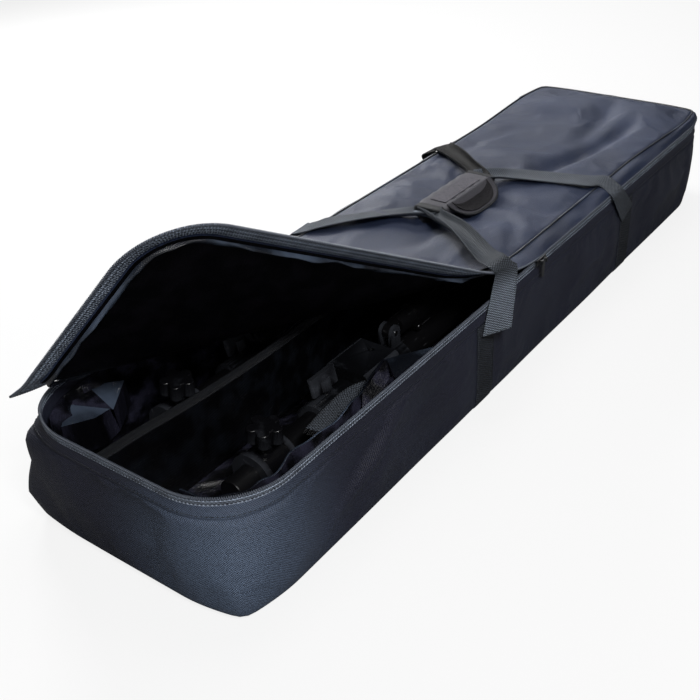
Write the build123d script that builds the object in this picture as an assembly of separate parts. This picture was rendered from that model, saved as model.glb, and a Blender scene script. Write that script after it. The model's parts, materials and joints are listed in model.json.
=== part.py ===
from build123d import *
import os
from math import cos, hypot, radians, sin, tan

# A long padded carry bag for folded tripod stands, half unzipped, with two stands packed inside.
# X runs along the bag, -Y is the zipped front, +Y the sewn back, Z is up and zero is the floor.

# Bag shell
bag_length = 1200
bag_width = 314
corner_radius = 85
wall_height = 132
wall_thickness = 5
base_thickness = 6
base_edge_radius = 4
board_thickness = 3
lining_thickness = 1
lining_drop = 3
seam_gap = 0.3

# Divider between the two compartments
divider_thickness = 5
back_pocket_width = 118.2
divider_top_drop = 3
divider_sag = 15
divider_sag_length = 260
binding_thickness = 1.2
binding_depth = 9

# Zip band and lid
tape_inset = 2
tape_thickness = 1.5
tape_height = 6
gusset_rise = 9
gusset_run = 20
row_height = 2.4
row_gap = 0.2
row_thickness = 3
lid_thickness = 5
lid_lining_thickness = 0.8
piping_height = 2.5
piping_thickness = 3

# The lid's free corner, curled up about a slanting line
curl_start_x = -508
curl_slant = 31
curl_radius = 90
curl_angle = 62
curl_sections = 9
halvings = 40

# Zip slider and pull
slider_length = 25
slider_bridge = 3
slider_wing = 1.6
slider_clearance = 1.7
chain_lag = 28.6
pull_width = 7
pull_length = 26
pull_thickness = 2
pull_pin_radius = 1
pull_pin_clearance = 0.05
pull_lug = 3

# Webbing straps and carrying handle
webbing_width = 38
webbing_thickness = 1.6
webbing_lift = 0.4
channel_clearance = 0.3
strap_centre_x = 57
strap_half_spacing = 210
rim_half_spacing = 168
girth_top_drop = 14
leg_overlap = 24
leg_rise = 3
leg_tilt = 24
grip_length = 140
grip_room = 1
grip_height = 18
grip_wall = 4
grip_corner = 8
grip_y = 10
grip_lie = 3
core_overhang = 8
entry_length = 34
entry_splay = 8.5
strap_angles = (0, 0, 10, 35, 75, 90)
stack_gap = 0.8
flap_length = 112
flap_width = 36
flap_thickness = 2.5
flap_droop = 35
flap_corner = 15
ridge_width = 4
fastener_length = 92
fastener_width = 24
fastener_thickness = 0.8

# Inner retaining strap, a loose tail of webbing sewn to the front wall
inner_strap_width = 30
inner_strap_x = -298
inner_strap_tail = 104
inner_strap_out = 56
inner_strap_top_drop = 26
inner_strap_fall = 16
# The tail's course: how far along, how far out from the wall, how far fallen and how far turned
inner_strap_course = (
    (0, 0, 0, 0),
    (0.06, 0.45, 0, 20),
    (0.3, 0.93, 0.4, 62),
    (0.65, 1, 0.75, 88),
    (1, 0.96, 1, 96),
)

# Folded tripod stand, lying along X with its top toward the open end
front_stand_offset = 11.6
back_stand_room = 65
back_stand_shift = 14
stand_end_room = 106
foot_room = 100
mast_radius = 17.5
mast_wall = 1.8
mast_clearance = 0.3
slide_clearance = 0.08
inner_wall = 1.5
mast_step = 46
inner_short = 200
cap_length = 10
collar_step = 32
collar_radius = 27
collar_length = 50
collar_rib = 2
collar_rim_width = 8
boss_rise = 6
boss_radius = 10
leg_radius = 12.5
leg_wall = 1.5
leg_offset = 46
pivot_step = 296
leg_tube_gap = 3
foot_length = 42
foot_end = 12
foot_wall = 3
hub_step = 206
hub_length = 66
hub_half = 30
hub_rise = 40
hub_corner = 6
hub_neck_radius = 25
hub_neck_length = 64
hub_core_radius = 29
hub_core_length = 36
hub_screw_radius = 4
hub_screw_depth = 2
spider_step = 258
spider_length = 34
spider_radius = 31
ear_thickness = 4
leg_ear_radius = 10
tongue_thickness = 10
tongue_radius = 9
tongue_seat = 20
strut_width = 11
strut_thickness = 6
strut_length = 190
strut_offset = 25.5
saddle_length = 26
pin_radius = 3
pin_clearance = 0.1
pin_head = 1
pivot_play = 0.5
knob_radius = 17
knob_lobe_radius = 7
knob_lobes = 5
knob_height = 18
knob_stem_radius = 5
knob_stem_length = 9
knob_fit = 0.05
wing_span = 46
wing_height = 22
wing_thickness = 7
wing_boss_radius = 9
wing_boss_height = 13
lock_knob_lean = 4
hub_knob_lean = -14
leg_count = 3

# Levels that follow from the sizes above
board_top = base_thickness + board_thickness
floor_z = board_top + lining_thickness
tape_top = wall_height + tape_height
lid_row_low = tape_top + row_height + row_gap
chain_top = lid_row_low + row_height
lid_top = chain_top + gusset_rise
lid_low = lid_top - lid_thickness
lid_mid = lid_low + lid_thickness / 2
half_length = bag_length / 2
half_width = bag_width / 2
lining_inset = wall_thickness + seam_gap
gusset_inset = tape_inset + gusset_run
lid_inset = gusset_inset + tape_thickness
row_inset = tape_inset + (tape_thickness - row_thickness) / 2
piping_inset = lid_inset - piping_thickness / 2
divider_y = half_width - lining_inset - lining_thickness - back_pocket_width - divider_thickness / 2
front_pocket_low = lining_inset + lining_thickness - half_width
front_stand_y = (front_pocket_low + divider_y - divider_thickness / 2) / 2 + front_stand_offset
back_stand_y = half_width - back_stand_room
grip_width = webbing_width + 2 * grip_room + 2 * grip_wall
inner_near_x = stand_end_room - half_length
collar_near_x = inner_near_x + collar_step
mast_near_x = inner_near_x + mast_step
hub_near_x = inner_near_x + hub_step
leg_pivot_x = inner_near_x + pivot_step
spider_x = leg_pivot_x + spider_step
leg_far_x = half_length - foot_room
mast_far_x = leg_far_x
inner_far_x = mast_far_x - inner_short
reach = 4 * bag_length

os.makedirs("parts", exist_ok=True)


def save(name, shape):
    export_step(shape, os.path.join("parts", name + ".step"))


def box_between(low, high):
    size = [high[i] - low[i] for i in range(3)]
    middle = [(high[i] + low[i]) / 2 for i in range(3)]
    return Pos(*middle) * Box(*size)


def plan(inset):
    return RectangleRounded(bag_length - 2 * inset, bag_width - 2 * inset, corner_radius - inset)


def slab(inset, low, high):
    return Pos(0, 0, low) * extrude(plan(inset), high - low)


def band(inset, thickness, low, high):
    return Pos(0, 0, low) * extrude(plan(inset) - plan(inset + thickness), high - low)


def sloped_band(low_inset, low, high_inset, high, thickness):
    faces = []
    for shift in (0, thickness):
        bottom = Pos(0, 0, low) * plan(low_inset + shift)
        top = Pos(0, 0, high) * plan(high_inset + shift)
        faces.append(loft([bottom.face(), top.face()], ruled=True))
    return faces[0] - faces[1]


# Base: padded panel with shallow channels for the straps, stiff board, then the lining tray
strap_places = (strap_centre_x - strap_half_spacing, strap_centre_x + strap_half_spacing)


def girth_strap(x, room):
    low = webbing_lift - room
    inner_low = webbing_lift + webbing_thickness + room
    top = wall_height - girth_top_drop + room
    inner = half_width - room
    outer = half_width + webbing_thickness + room
    across = webbing_width + 2 * room
    section = Pos(0, (top + low) / 2) * Rectangle(2 * outer, top - low)
    section = fillet(section.vertices().sort_by(Axis.Y)[:2], base_edge_radius + webbing_thickness)
    hollow = Pos(0, (top + inner_low) / 2) * Rectangle(2 * inner, top - inner_low)
    section -= fillet(hollow.vertices().sort_by(Axis.Y)[:2], base_edge_radius)
    return Pos(x - across / 2, 0, 0) * extrude(Plane.YZ * section, across)


base_panel = slab(0, 0, base_thickness)
base_panel = fillet(base_panel.faces().sort_by(Axis.Z)[0].edges(), base_edge_radius)
for x in strap_places:
    base_panel -= girth_strap(x, channel_clearance)
save("base_panel", base_panel)
save("base_board", slab(lining_inset, base_thickness, board_top))

lining_top = wall_height - lining_drop
bag_lining = slab(lining_inset, board_top, lining_top)
bag_lining -= slab(lining_inset + lining_thickness, floor_z, lining_top + lining_drop)
save("bag_lining", bag_lining)
save("side_wall", band(0, wall_thickness, base_thickness, wall_height))

# Divider: a padded board on edge, its bound top edge sagging away from the near end
divider_end = half_length - lining_inset - lining_thickness - seam_gap
divider_high = wall_height - divider_top_drop
divider_low = divider_high - divider_sag


def divider_face(drop):
    start = (-divider_end, divider_high - drop)
    finish = (-divider_end + divider_sag_length, divider_low - drop)
    pull = divider_sag_length / 2
    sag = Bezier(start, (start[0] + pull, start[1]), (finish[0] - pull, finish[1]), finish)
    far_corner = (divider_end, divider_low - drop)
    run = Polyline(finish, far_corner, (divider_end, floor_z), (-divider_end, floor_z), start)
    return make_face([sag, run.edges()])


def divider_slab(drop, thickness):
    return Pos(0, divider_y + thickness / 2, 0) * extrude(Plane.XZ * divider_face(drop), thickness)


divider = divider_slab(binding_thickness, divider_thickness)
bound = divider_thickness + 2 * binding_thickness
divider_binding = divider_slab(0, bound) - divider_slab(binding_depth, bound) - divider
save("divider", divider)
save("divider_binding", divider_binding)

# The curl: a line slants across the lid, and beyond it the lid rolls up over a round to a flat free corner
slant = radians(curl_slant)
turn = radians(curl_angle)
curl_arc = curl_radius * turn
along = Vector(cos(slant), -sin(slant), 0)
onward = Vector(-sin(slant), -cos(slant), 0)
curl_root = Vector(curl_start_x, half_width, lid_mid)
curl_frame = Pos(curl_start_x, half_width, lid_mid) * Rot(0, 0, -curl_slant)
fixed_side = curl_frame * Pos(0, reach / 2, 0) * Box(reach, reach, reach)
free_side = curl_frame * Pos(0, -curl_arc - reach / 2, 0) * Box(reach, reach, reach)

# The flat closed corner and the raised one are a single turn apart about this axis
shift_on = curl_radius * sin(turn) - curl_arc * cos(turn)
shift_up = curl_radius * (1 - cos(turn)) - curl_arc * sin(turn)
hinge_on = (shift_on - shift_up * sin(turn) / (1 - cos(turn))) / 2
hinge_up = (shift_up + shift_on * sin(turn) / (1 - cos(turn))) / 2
hinge_point = curl_root + onward * hinge_on + Vector(0, 0, hinge_up)
hinge_axis = Axis(tuple(hinge_point), tuple(-along))
print("lid hinge point", hinge_point, "axis", -along)


def raised(shape):
    return (shape & free_side).rotate(hinge_axis, curl_angle)


def rim_room(x, y, inset):
    corner = corner_radius - inset
    dx = abs(x) - (half_length - inset - corner)
    dy = abs(y) - (half_width - inset - corner)
    return hypot(max(dx, 0), max(dy, 0)) + min(max(dx, dy), 0) - corner


def rim_crossing(on, inset, way):
    start = (half_width - on * cos(slant)) / sin(slant)
    near, far = 0, reach
    for step in range(halvings):
        middle = (near + far) / 2
        spot = curl_root + onward * on + along * (start + way * middle)
        if rim_room(spot.X, spot.Y, inset) < 0:
            near = middle
        else:
            far = middle
    return start + way * near


def curled(on, side, height):
    lean = on / curl_radius
    out = curl_radius * sin(lean) - height * sin(lean)
    up = curl_radius * (1 - cos(lean)) + height * cos(lean)
    return curl_root + onward * out + along * side + Vector(0, 0, up)


def curled_strip(section, start=0):
    faces = []
    for step in range(curl_sections):
        on = start + (curl_arc - start) * step / (curl_sections - 1)
        corners = [curled(on, side, height - lid_mid) for side, height in section(on)]
        faces.append(make_face(Polyline(*corners, close=True)))
    return loft(faces, ruled=True)


def curled_rim(low_inset, low, high_inset, high, thickness, front_start=0):
    strips = []
    for way, start in ((-1, 0), (1, front_start)):
        def section(on, way=way):
            low_sides = [rim_crossing(on, low_inset + shift, way) for shift in (0, thickness)]
            high_sides = [rim_crossing(on, high_inset + shift, way) for shift in (thickness, 0)]
            return [(side, low) for side in low_sides] + [(side, high) for side in high_sides]
        strips.append(curled_strip(section, start))
    return Compound(children=strips)


def lid_section(on):
    sides = [rim_crossing(on, lid_inset, way) for way in (-1, 1)]
    return [(sides[0], lid_low), (sides[1], lid_low), (sides[1], lid_top), (sides[0], lid_top)]


# Lid: one padded panel in three stretches, the sewn one, the one that bends and the raised corner
lid_slab = slab(lid_inset, lid_low, lid_top)
save("lid_panel", lid_slab & fixed_side)
save("lid_flap", raised(lid_slab))
save("lid_bend", curled_strip(lid_section))

lid_lining_inset = lid_inset + piping_thickness
lid_lining = slab(lid_lining_inset, lid_low - lid_lining_thickness, lid_low)
save("lid_lining", lid_lining & fixed_side)
save("flap_lining", raised(lid_lining))

hinge_near_x = curl_start_x + (lid_inset + piping_thickness) / tan(slant)
hinge_far_x = half_length - corner_radius
hinge_low_y = half_width - corner_radius / 2
hinge_stretch = box_between((hinge_near_x, hinge_low_y, 0), (hinge_far_x, reach, reach))
hinge_strip = sloped_band(tape_inset, wall_height, gusset_inset, lid_top, tape_thickness)
save("lid_hinge_strip", hinge_strip & hinge_stretch)

lid_tape = sloped_band(tape_inset, chain_top, gusset_inset, lid_top, tape_thickness) - hinge_stretch
save("lid_zip_tape", lid_tape & fixed_side)
save("flap_zip_tape", raised(lid_tape))
save("bend_zip_tape", curled_rim(tape_inset, chain_top, gusset_inset, lid_top, tape_thickness - seam_gap))

piping_top = lid_top + piping_height
lid_piping = band(piping_inset, piping_thickness, lid_top, piping_top)
save("lid_piping", lid_piping & fixed_side)
save("flap_piping", raised(lid_piping))
save("bend_piping", curled_rim(piping_inset, lid_top, piping_inset, piping_top, piping_thickness))

# Zip rows: apart round the open mouth, meshed beyond the slider
front_rim_start = curl_start_x + bag_width / tan(slant)
chain_start_x = front_rim_start - chain_lag
past_slider = box_between((chain_start_x, -reach, 0), (reach, reach, reach))
wall_row = band(row_inset, row_thickness, tape_top, tape_top + row_height) - hinge_stretch
lid_row = band(row_inset, row_thickness, lid_row_low, chain_top) - hinge_stretch
meshed = band(row_inset, row_thickness, tape_top, chain_top) - hinge_stretch
save("wall_zip_tape", band(tape_inset, tape_thickness, wall_height, tape_top) - hinge_stretch)
save("wall_zip_teeth", wall_row - past_slider)
save("closed_zip_teeth", meshed & past_slider)
save("flap_zip_teeth", raised(lid_row))
rows_part = (front_rim_start - chain_start_x) * sin(slant)
bend_row = (lid_row_low, chain_top - seam_gap)
save("bend_zip_teeth", curled_rim(row_inset, bend_row[0], row_inset, bend_row[1], row_thickness, rows_part))

# Slider: two wings either side of the rows, joined by a bridge where the rows part
row_outer_y = -(half_width - row_inset)
row_inner_y = row_outer_y + row_thickness
slider_far_x = chain_start_x + seam_gap + slider_length / 2
slider_near_x = slider_far_x - slider_length
outer_face = row_outer_y - slider_clearance - slider_wing
inner_face = row_inner_y + slider_clearance + slider_wing
slider_low = tape_top - row_height
bridge_low = tape_top + row_height + row_gap
bridge_high = bridge_low + row_height / 2
wing_high = chain_top


def slider_plate(low_y, high_y):
    return box_between((slider_near_x, low_y, slider_low), (slider_far_x, high_y, wing_high))


bridge_far_x = slider_near_x + slider_bridge
bridge = box_between((slider_near_x, outer_face, bridge_low), (bridge_far_x, inner_face, bridge_high))
pull_z = (slider_low + wing_high) / 2
pull_x = (slider_near_x + slider_far_x) / 2
lug_reach = pull_thickness + pull_lug
pin_y = outer_face - lug_reach / 2
lug_span = pull_width + 2 * pull_lug
slider = bridge + slider_plate(outer_face, outer_face + slider_wing)
slider += slider_plate(inner_face - slider_wing, inner_face)
for way in (-1, 1):
    ear_x = pull_x + way * (pull_width / 2 + seam_gap + pull_lug / 2)
    slider += Pos(ear_x, outer_face - lug_reach / 2, pull_z) * Box(pull_lug, lug_reach, lug_reach)
slider += Pos(pull_x, pin_y, pull_z) * Rot(0, 90, 0) * Cylinder(pull_pin_radius, lug_span)
save("zip_slider", slider)

pull_eye = pull_pin_radius + pull_thickness / 2
pull_plate = SlotOverall(pull_length, pull_width, rotation=90)
pull = extrude(Plane.XZ * pull_plate, pull_thickness / 2, both=True)
pull = Pos(0, 0, -pull_length / 2 + pull_width / 2) * pull
pull = pull & Pos(0, 0, -reach / 2) * Box(reach, reach, reach)
pull += Rot(0, 90, 0) * Cylinder(pull_eye, pull_width)
pull -= Rot(0, 90, 0) * Cylinder(pull_pin_radius + pull_pin_clearance, pull_width)
save("zip_pull", Pos(pull_x, pin_y, pull_z) * pull)
print("zip pull pin", pull_x, pin_y, pull_z)

# Girth straps, sewn down both sides and under the base
for x, end in zip(strap_places, ("near", "far")):
    save("girth_strap_" + end, girth_strap(x, 0))


# Handle straps: from each girth strap leaning in and up over the lid's edge, then slanting to the grip
def webbing(spots, sides, width):
    faces = []
    last = len(spots) - 1
    for index in range(len(spots)):
        ahead = spots[min(index + 1, last)] - spots[max(index - 1, 0)]
        side = sides[index].normalized() * (width / 2)
        up = ahead.cross(side).normalized() * (webbing_thickness / 2)
        middle = spots[index]
        corners = [middle - side - up, middle + side - up, middle + side + up, middle - side + up]
        faces.append(make_face(Polyline(*corners, close=True)))
    return loft(faces, ruled=True)


def turned(angle, way):
    return Vector(cos(radians(angle)), way * sin(radians(angle)), 0)


grip_low = lid_top + grip_lie
grip_mid = grip_low + grip_height / 2
grip_top = grip_low + grip_height
wall_face = half_width + webbing_thickness + webbing_thickness / 2
leg_low = wall_height - girth_top_drop - leg_overlap
lid_rest = lid_top + piping_height + webbing_thickness
rim_places = (strap_centre_x - rim_half_spacing, strap_centre_x + rim_half_spacing)
strap_near_edge = rim_places[0] - webbing_width / 2
rim_lean = (front_rim_start - strap_near_edge) * sin(slant) / curl_radius
front_near_lift = curl_radius * (1 - cos(rim_lean)) + leg_rise
stack = (webbing_thickness + stack_gap) / 2
core_reach = grip_length / 2 + core_overhang + seam_gap
tilt = radians(leg_tilt)
for name, side in (("front", -1), ("back", 1)):
    for x, rim_x, end, way in zip(strap_places, rim_places, ("near", "far"), (-1, 1)):
        lift = front_near_lift if (name, end) == ("front", "near") else 0
        edge = lid_rest + lift
        finish = Vector(strap_centre_x + way * core_reach, grip_y, grip_mid - side * stack)
        entry = finish + Vector(way * entry_length, side * entry_splay, 0)
        landing = Vector(rim_x, side * (half_width - webbing_width), edge + leg_rise)
        rise = Vector(0, 0, leg_rise * (1 - side))
        middle = (landing + entry) * 0.5 + rise
        spots = [Vector(x, side * wall_face, leg_low), Vector(rim_x, side * wall_face, chain_top + lift)]
        spots += [Vector(rim_x, side * (half_width - gusset_inset / 2), edge), landing, middle, entry, finish]
        sides = [Vector(cos(tilt), 0, way * sin(tilt))]
        sides += [turned(angle, -way * side) for angle in strap_angles]
        save("handle_strap_" + name + "_" + end, webbing(spots, sides, webbing_width))

# Grip: the joined straps, a padded wrap round them, and its closing flap with hook and loop strips
core = Box(grip_length + 2 * core_overhang, webbing_width, 2 * webbing_thickness)
save("handle_core", Pos(strap_centre_x, grip_y, grip_mid) * core)
wrap_section = RectangleRounded(grip_width, grip_height, grip_corner)
hollow_size = (grip_width - 2 * grip_wall, grip_height - 2 * grip_wall)
wrap_hollow = RectangleRounded(*hollow_size, grip_corner - grip_wall)
wrap = extrude(Plane.YZ * (wrap_section - wrap_hollow), grip_length / 2, both=True)
wrap = Pos(strap_centre_x, grip_y, grip_mid) * wrap

# The wrap's closing flap turns on a sewn ridge along its top edge
flap_axis_y = grip_y - grip_width / 2 + grip_corner / 2
flap_axis_z = grip_top + 2 * fastener_thickness + flap_thickness / 2 + seam_gap
ridge_top = flap_axis_z - flap_thickness / 2 - seam_gap
ridge_half = flap_length / 2 - flap_corner
wrap += box_between((strap_centre_x - ridge_half, flap_axis_y, grip_mid + grip_height / 2 - grip_wall / 2),
                    (strap_centre_x + ridge_half, flap_axis_y + ridge_width, ridge_top))
save("grip_wrap", wrap)
strip = Box(fastener_length, fastener_width, fastener_thickness)
save("loop_strip", Pos(strap_centre_x, grip_y, grip_top + fastener_thickness / 2) * strip)
flap_frame = Pos(strap_centre_x, flap_axis_y, flap_axis_z) * Rot(flap_droop, 0, 0)
flap = extrude(RectangleRounded(flap_length, flap_width, flap_corner), flap_thickness / 2, both=True)
flap = Pos(0, -flap_width / 2, 0) * flap + Rot(0, 90, 0) * Cylinder(flap_thickness / 2, 2 * ridge_half)
save("grip_flap", flap_frame * flap)
hook_z = (flap_thickness + fastener_thickness) / 2
save("hook_strip", flap_frame * Pos(0, -flap_width / 2, hook_z) * strip)
print("grip flap axis", strap_centre_x, flap_axis_y, flap_axis_z)

# Inner strap: sewn to the front wall, its loose tail lying toward the open end
sew_y = -(half_width - lining_inset - lining_thickness - seam_gap)
sew_z = wall_height - inner_strap_top_drop
strap_run = []
strap_sides = []
for back, out, fall, angle in inner_strap_course:
    spot_x = inner_strap_x - inner_strap_tail * back
    strap_run.append(Vector(spot_x, sew_y + inner_strap_out * out, sew_z - inner_strap_fall * fall))
    strap_sides.append(turned(angle, 1))
save("inner_strap", webbing(strap_run, strap_sides, inner_strap_width))


# Tripod stand, folded: legs and struts lie along the mast, hub and spider hold their pins
def rod(x_low, x_high, radius):
    return Pos(x_low, 0, 0) * extrude(Plane.YZ * Circle(radius), x_high - x_low)


def tube(x_low, x_high, radius, wall):
    return rod(x_low, x_high, radius) - rod(x_low, x_high, radius - wall)


def cross_rod(x, height, radius, span):
    return Pos(x, 0, height) * Rot(90, 0, 0) * Cylinder(radius, span)


def eye_pair(x, height, radius, gap, web):
    # Two eyes on their web, parted by a gap and bored for a cross pin
    plates = cross_rod(x, height, radius, gap + 2 * ear_thickness) + web
    plates -= Pos(x, 0, height) * Box(reach, gap, reach)
    return plates - cross_rod(x, height, pin_radius + pin_clearance, reach)


leg_angles = [360 * index / leg_count for index in range(leg_count)]


def each_leg(shape):
    turns = [Rot(angle, 0, 0) * shape for angle in leg_angles]
    return [solid for turn in turns for solid in turn.solids()]


def group(solids):
    return Compound(children=solids)


def leaning(x, lean, height):
    return Pos(x, 0, 0) * Rot(lean, 0, 0) * Pos(0, 0, height)


def lobed_knob():
    lobe_circle = knob_radius - knob_lobe_radius / 2
    head = Circle(lobe_circle)
    for lobe in PolarLocations(lobe_circle, knob_lobes):
        head += lobe * Circle(knob_lobe_radius)
    head = extrude(head, knob_height)
    head = fillet(head.faces().sort_by(Axis.Z)[-1].edges(), knob_lobe_radius / 4)
    return Pos(0, 0, knob_stem_length) * head + extrude(Circle(knob_stem_radius), knob_stem_length)


def wing_knob():
    wings = extrude(SlotOverall(wing_span, wing_thickness), wing_height)
    head = wings + extrude(Circle(wing_boss_radius), wing_boss_height)
    return Pos(0, 0, knob_stem_length) * head + extrude(Circle(knob_stem_radius), knob_stem_length)


def folded_stand(name, place):
    parts = {}
    bore = mast_radius + mast_clearance
    inner_radius = mast_radius - mast_wall - slide_clearance
    parts["mast_tube"] = tube(mast_near_x, mast_far_x, mast_radius, mast_wall)
    mast_inner = tube(inner_near_x, inner_far_x, inner_radius, inner_wall)
    mast_inner += rod(inner_near_x, inner_near_x + cap_length, inner_radius)
    parts["mast_inner"] = fillet(mast_inner.faces().sort_by(Axis.X)[0].edges(), inner_wall)

    # Locking collar with its raised rims and lobed knob
    collar_far_x = collar_near_x + collar_length
    collar_mid = (collar_near_x + collar_far_x) / 2
    knob_seat = collar_radius + boss_rise
    collar = rod(collar_near_x, collar_far_x, collar_radius - collar_rib)
    for rim_x in (collar_near_x, collar_far_x - collar_rim_width):
        collar += rod(rim_x, rim_x + collar_rim_width, collar_radius)
    collar += leaning(collar_mid, lock_knob_lean, 0) * extrude(Circle(boss_radius), knob_seat)
    collar -= rod(mast_near_x, collar_far_x, bore)
    collar -= rod(collar_near_x, mast_near_x, inner_radius + mast_clearance)
    knob_hole = extrude(Circle(knob_stem_radius + knob_fit), knob_stem_length)
    collar -= leaning(collar_mid, lock_knob_lean, knob_seat - knob_stem_length / 2) * knob_hole
    parts["lock_collar"] = collar
    parts["lock_knob"] = leaning(collar_mid, lock_knob_lean, knob_seat - knob_stem_length / 2) * lobed_knob()

    # Leg hub: a square bracket with a round neck for the wing knob and three clevises for the legs
    hub_far_x = hub_near_x + hub_length
    core_far_x = hub_far_x + hub_core_length
    neck_near_x = hub_near_x - hub_neck_length
    neck_mid = (neck_near_x + hub_near_x) / 2
    leg_gap = tongue_thickness + 2 * pivot_play
    bracket = box_between((hub_near_x, -hub_half, -hub_half), (hub_far_x, hub_half, hub_rise))
    bracket = fillet(bracket.edges().filter_by(Axis.X), hub_corner)
    screw_hole = Cylinder(hub_screw_radius, 2 * hub_screw_depth)
    hub = bracket - Pos(hub_far_x - hub_half / 2, 0, hub_rise) * screw_hole
    hub += rod(neck_near_x, hub_near_x, hub_neck_radius)
    hub += rod(hub_far_x, core_far_x, hub_core_radius)
    half_span = leg_gap / 2 + ear_thickness
    leg_web = box_between((leg_pivot_x - leg_ear_radius, -half_span, 0),
                          (leg_pivot_x + leg_ear_radius, half_span, leg_offset))
    for eyes in each_leg(eye_pair(leg_pivot_x, leg_offset, leg_ear_radius, leg_gap, leg_web)):
        hub += eyes
    hub -= rod(neck_near_x, core_far_x, bore)
    hub -= leaning(neck_mid, hub_knob_lean, hub_neck_radius - knob_stem_length / 2) * knob_hole
    parts["leg_hub"] = hub
    parts["hub_knob"] = leaning(neck_mid, hub_knob_lean, hub_neck_radius - knob_stem_length / 2) * wing_knob()

    # Spider that slides on the mast, with its struts folded back along the legs
    strut_gap = strut_thickness + 2 * pivot_play
    far_pin_x = spider_x - strut_width
    near_pin_x = far_pin_x - strut_length
    spider = rod(spider_x, spider_x + spider_length, spider_radius)
    eye_radius = strut_width / 2
    half_span = strut_gap / 2 + ear_thickness
    spider_web = box_between((far_pin_x, -half_span, strut_offset - eye_radius),
                             (spider_x + ear_thickness, half_span, strut_offset + eye_radius))
    for eyes in each_leg(eye_pair(far_pin_x, strut_offset, eye_radius, strut_gap, spider_web)):
        spider += eyes
    spider -= rod(spider_x - reach / 2, spider_x + spider_length, bore)
    parts["slide_hub"] = spider
    strut = SlotCenterToCenter(strut_length, strut_width)
    strut = extrude(Plane.XZ * strut, strut_thickness / 2, both=True)
    strut = Pos((near_pin_x + far_pin_x) / 2, 0, strut_offset) * strut
    for x in (near_pin_x, far_pin_x):
        strut -= cross_rod(x, strut_offset, pin_radius + pin_clearance, reach)
    parts["struts"] = group(each_leg(strut))

    # Legs, each with a saddle for its strut, and their rubber feet
    tube_near_x = leg_pivot_x + leg_ear_radius + leg_tube_gap
    tongue = cross_rod(leg_pivot_x, 0, tongue_radius, tongue_thickness)
    tongue += box_between((leg_pivot_x, -tongue_thickness / 2, -tongue_radius),
                          (tube_near_x, tongue_thickness / 2, tongue_radius))
    tongue += rod(tube_near_x, tube_near_x + tongue_seat, leg_radius)
    tongue -= cross_rod(leg_pivot_x, 0, pin_radius + pin_clearance, reach)
    leg = Pos(0, 0, leg_offset) * (tube(tube_near_x, leg_far_x, leg_radius, leg_wall) + tongue)
    saddle = tube(0, saddle_length, leg_radius + foot_wall, foot_wall)
    saddle = Pos(near_pin_x - saddle_length / 2, 0, leg_offset) * saddle
    saddle_web = box_between((near_pin_x - eye_radius, -half_span, strut_offset),
                             (near_pin_x + eye_radius, half_span, leg_offset))
    saddle += eye_pair(near_pin_x, strut_offset, eye_radius, strut_gap, saddle_web)
    saddle -= Pos(near_pin_x, 0, strut_offset) * Box(reach, strut_gap, strut_width + 2 * pivot_play)
    saddle -= Pos(near_pin_x, 0, leg_offset) * Rot(0, 90, 0) * Cylinder(leg_radius, saddle_length)
    parts["legs"] = group(each_leg(leg + saddle))
    foot = rod(leg_far_x - foot_length + foot_end, leg_far_x + foot_end, leg_radius + foot_wall)
    foot = fillet(foot.faces().sort_by(Axis.X)[-1].edges(), foot_wall)
    foot -= rod(leg_far_x - foot_length + foot_end, leg_far_x, leg_radius)
    parts["feet"] = group(each_leg(Pos(0, 0, leg_offset) * foot))

    leg_pin = cross_rod(leg_pivot_x, leg_offset, pin_radius, leg_gap + 2 * ear_thickness + 2 * pin_head)
    strut_span = strut_gap + 2 * ear_thickness + 2 * pin_head
    strut_pins = [cross_rod(x, strut_offset, pin_radius, strut_span) for x in (near_pin_x, far_pin_x)]
    parts["pins"] = group([solid for pin in [leg_pin, *strut_pins] for solid in each_leg(pin)])
    for piece, shape in parts.items():
        save(name + "_stand_" + piece, place * shape)


lowest_leg = leg_offset * max(-cos(radians(angle)) for angle in leg_angles)
stand_z = floor_z + seam_gap + lowest_leg + leg_radius + foot_wall
folded_stand("front", Pos(0, front_stand_y, stand_z))
folded_stand("back", Pos(back_stand_shift, back_stand_y, stand_z))
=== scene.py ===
import json
import math

import bmesh
import bpy
import numpy as np
from mathutils import Matrix, Vector
from mathutils.kdtree import KDTree


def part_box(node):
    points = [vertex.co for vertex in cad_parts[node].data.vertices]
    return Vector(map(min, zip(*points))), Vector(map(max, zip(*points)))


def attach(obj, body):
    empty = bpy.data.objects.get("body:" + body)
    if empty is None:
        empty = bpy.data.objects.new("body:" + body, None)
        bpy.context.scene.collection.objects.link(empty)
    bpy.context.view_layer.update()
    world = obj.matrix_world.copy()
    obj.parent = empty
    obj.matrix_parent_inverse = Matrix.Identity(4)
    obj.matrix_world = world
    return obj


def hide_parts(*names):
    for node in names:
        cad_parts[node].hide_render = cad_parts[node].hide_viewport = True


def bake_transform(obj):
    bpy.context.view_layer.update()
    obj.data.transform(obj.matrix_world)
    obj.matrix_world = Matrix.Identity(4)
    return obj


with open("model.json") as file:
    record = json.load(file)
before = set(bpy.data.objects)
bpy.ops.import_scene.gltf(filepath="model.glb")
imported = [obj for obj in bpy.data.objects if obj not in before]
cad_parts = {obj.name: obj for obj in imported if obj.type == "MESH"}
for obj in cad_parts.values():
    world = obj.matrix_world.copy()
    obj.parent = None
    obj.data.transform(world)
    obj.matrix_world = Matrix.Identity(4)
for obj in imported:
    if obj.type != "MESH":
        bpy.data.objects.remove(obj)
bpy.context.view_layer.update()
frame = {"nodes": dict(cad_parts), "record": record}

# Outer shell: one long band of padded woven nylon, sewn to a padded base with the seam turned inside.
# A narrow top band is sewn on for the zip. The straps hold the padding in, and the near left corner has
# slumped out of its curve into a square one.
half_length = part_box("base_panel")[1].x
half_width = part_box("base_panel")[1].y
wall_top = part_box("side_wall")[1].z
corner_radius = 0.085
wall_thickness = 0.005
base_roll = 0.009
top_band = 0.016
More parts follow.
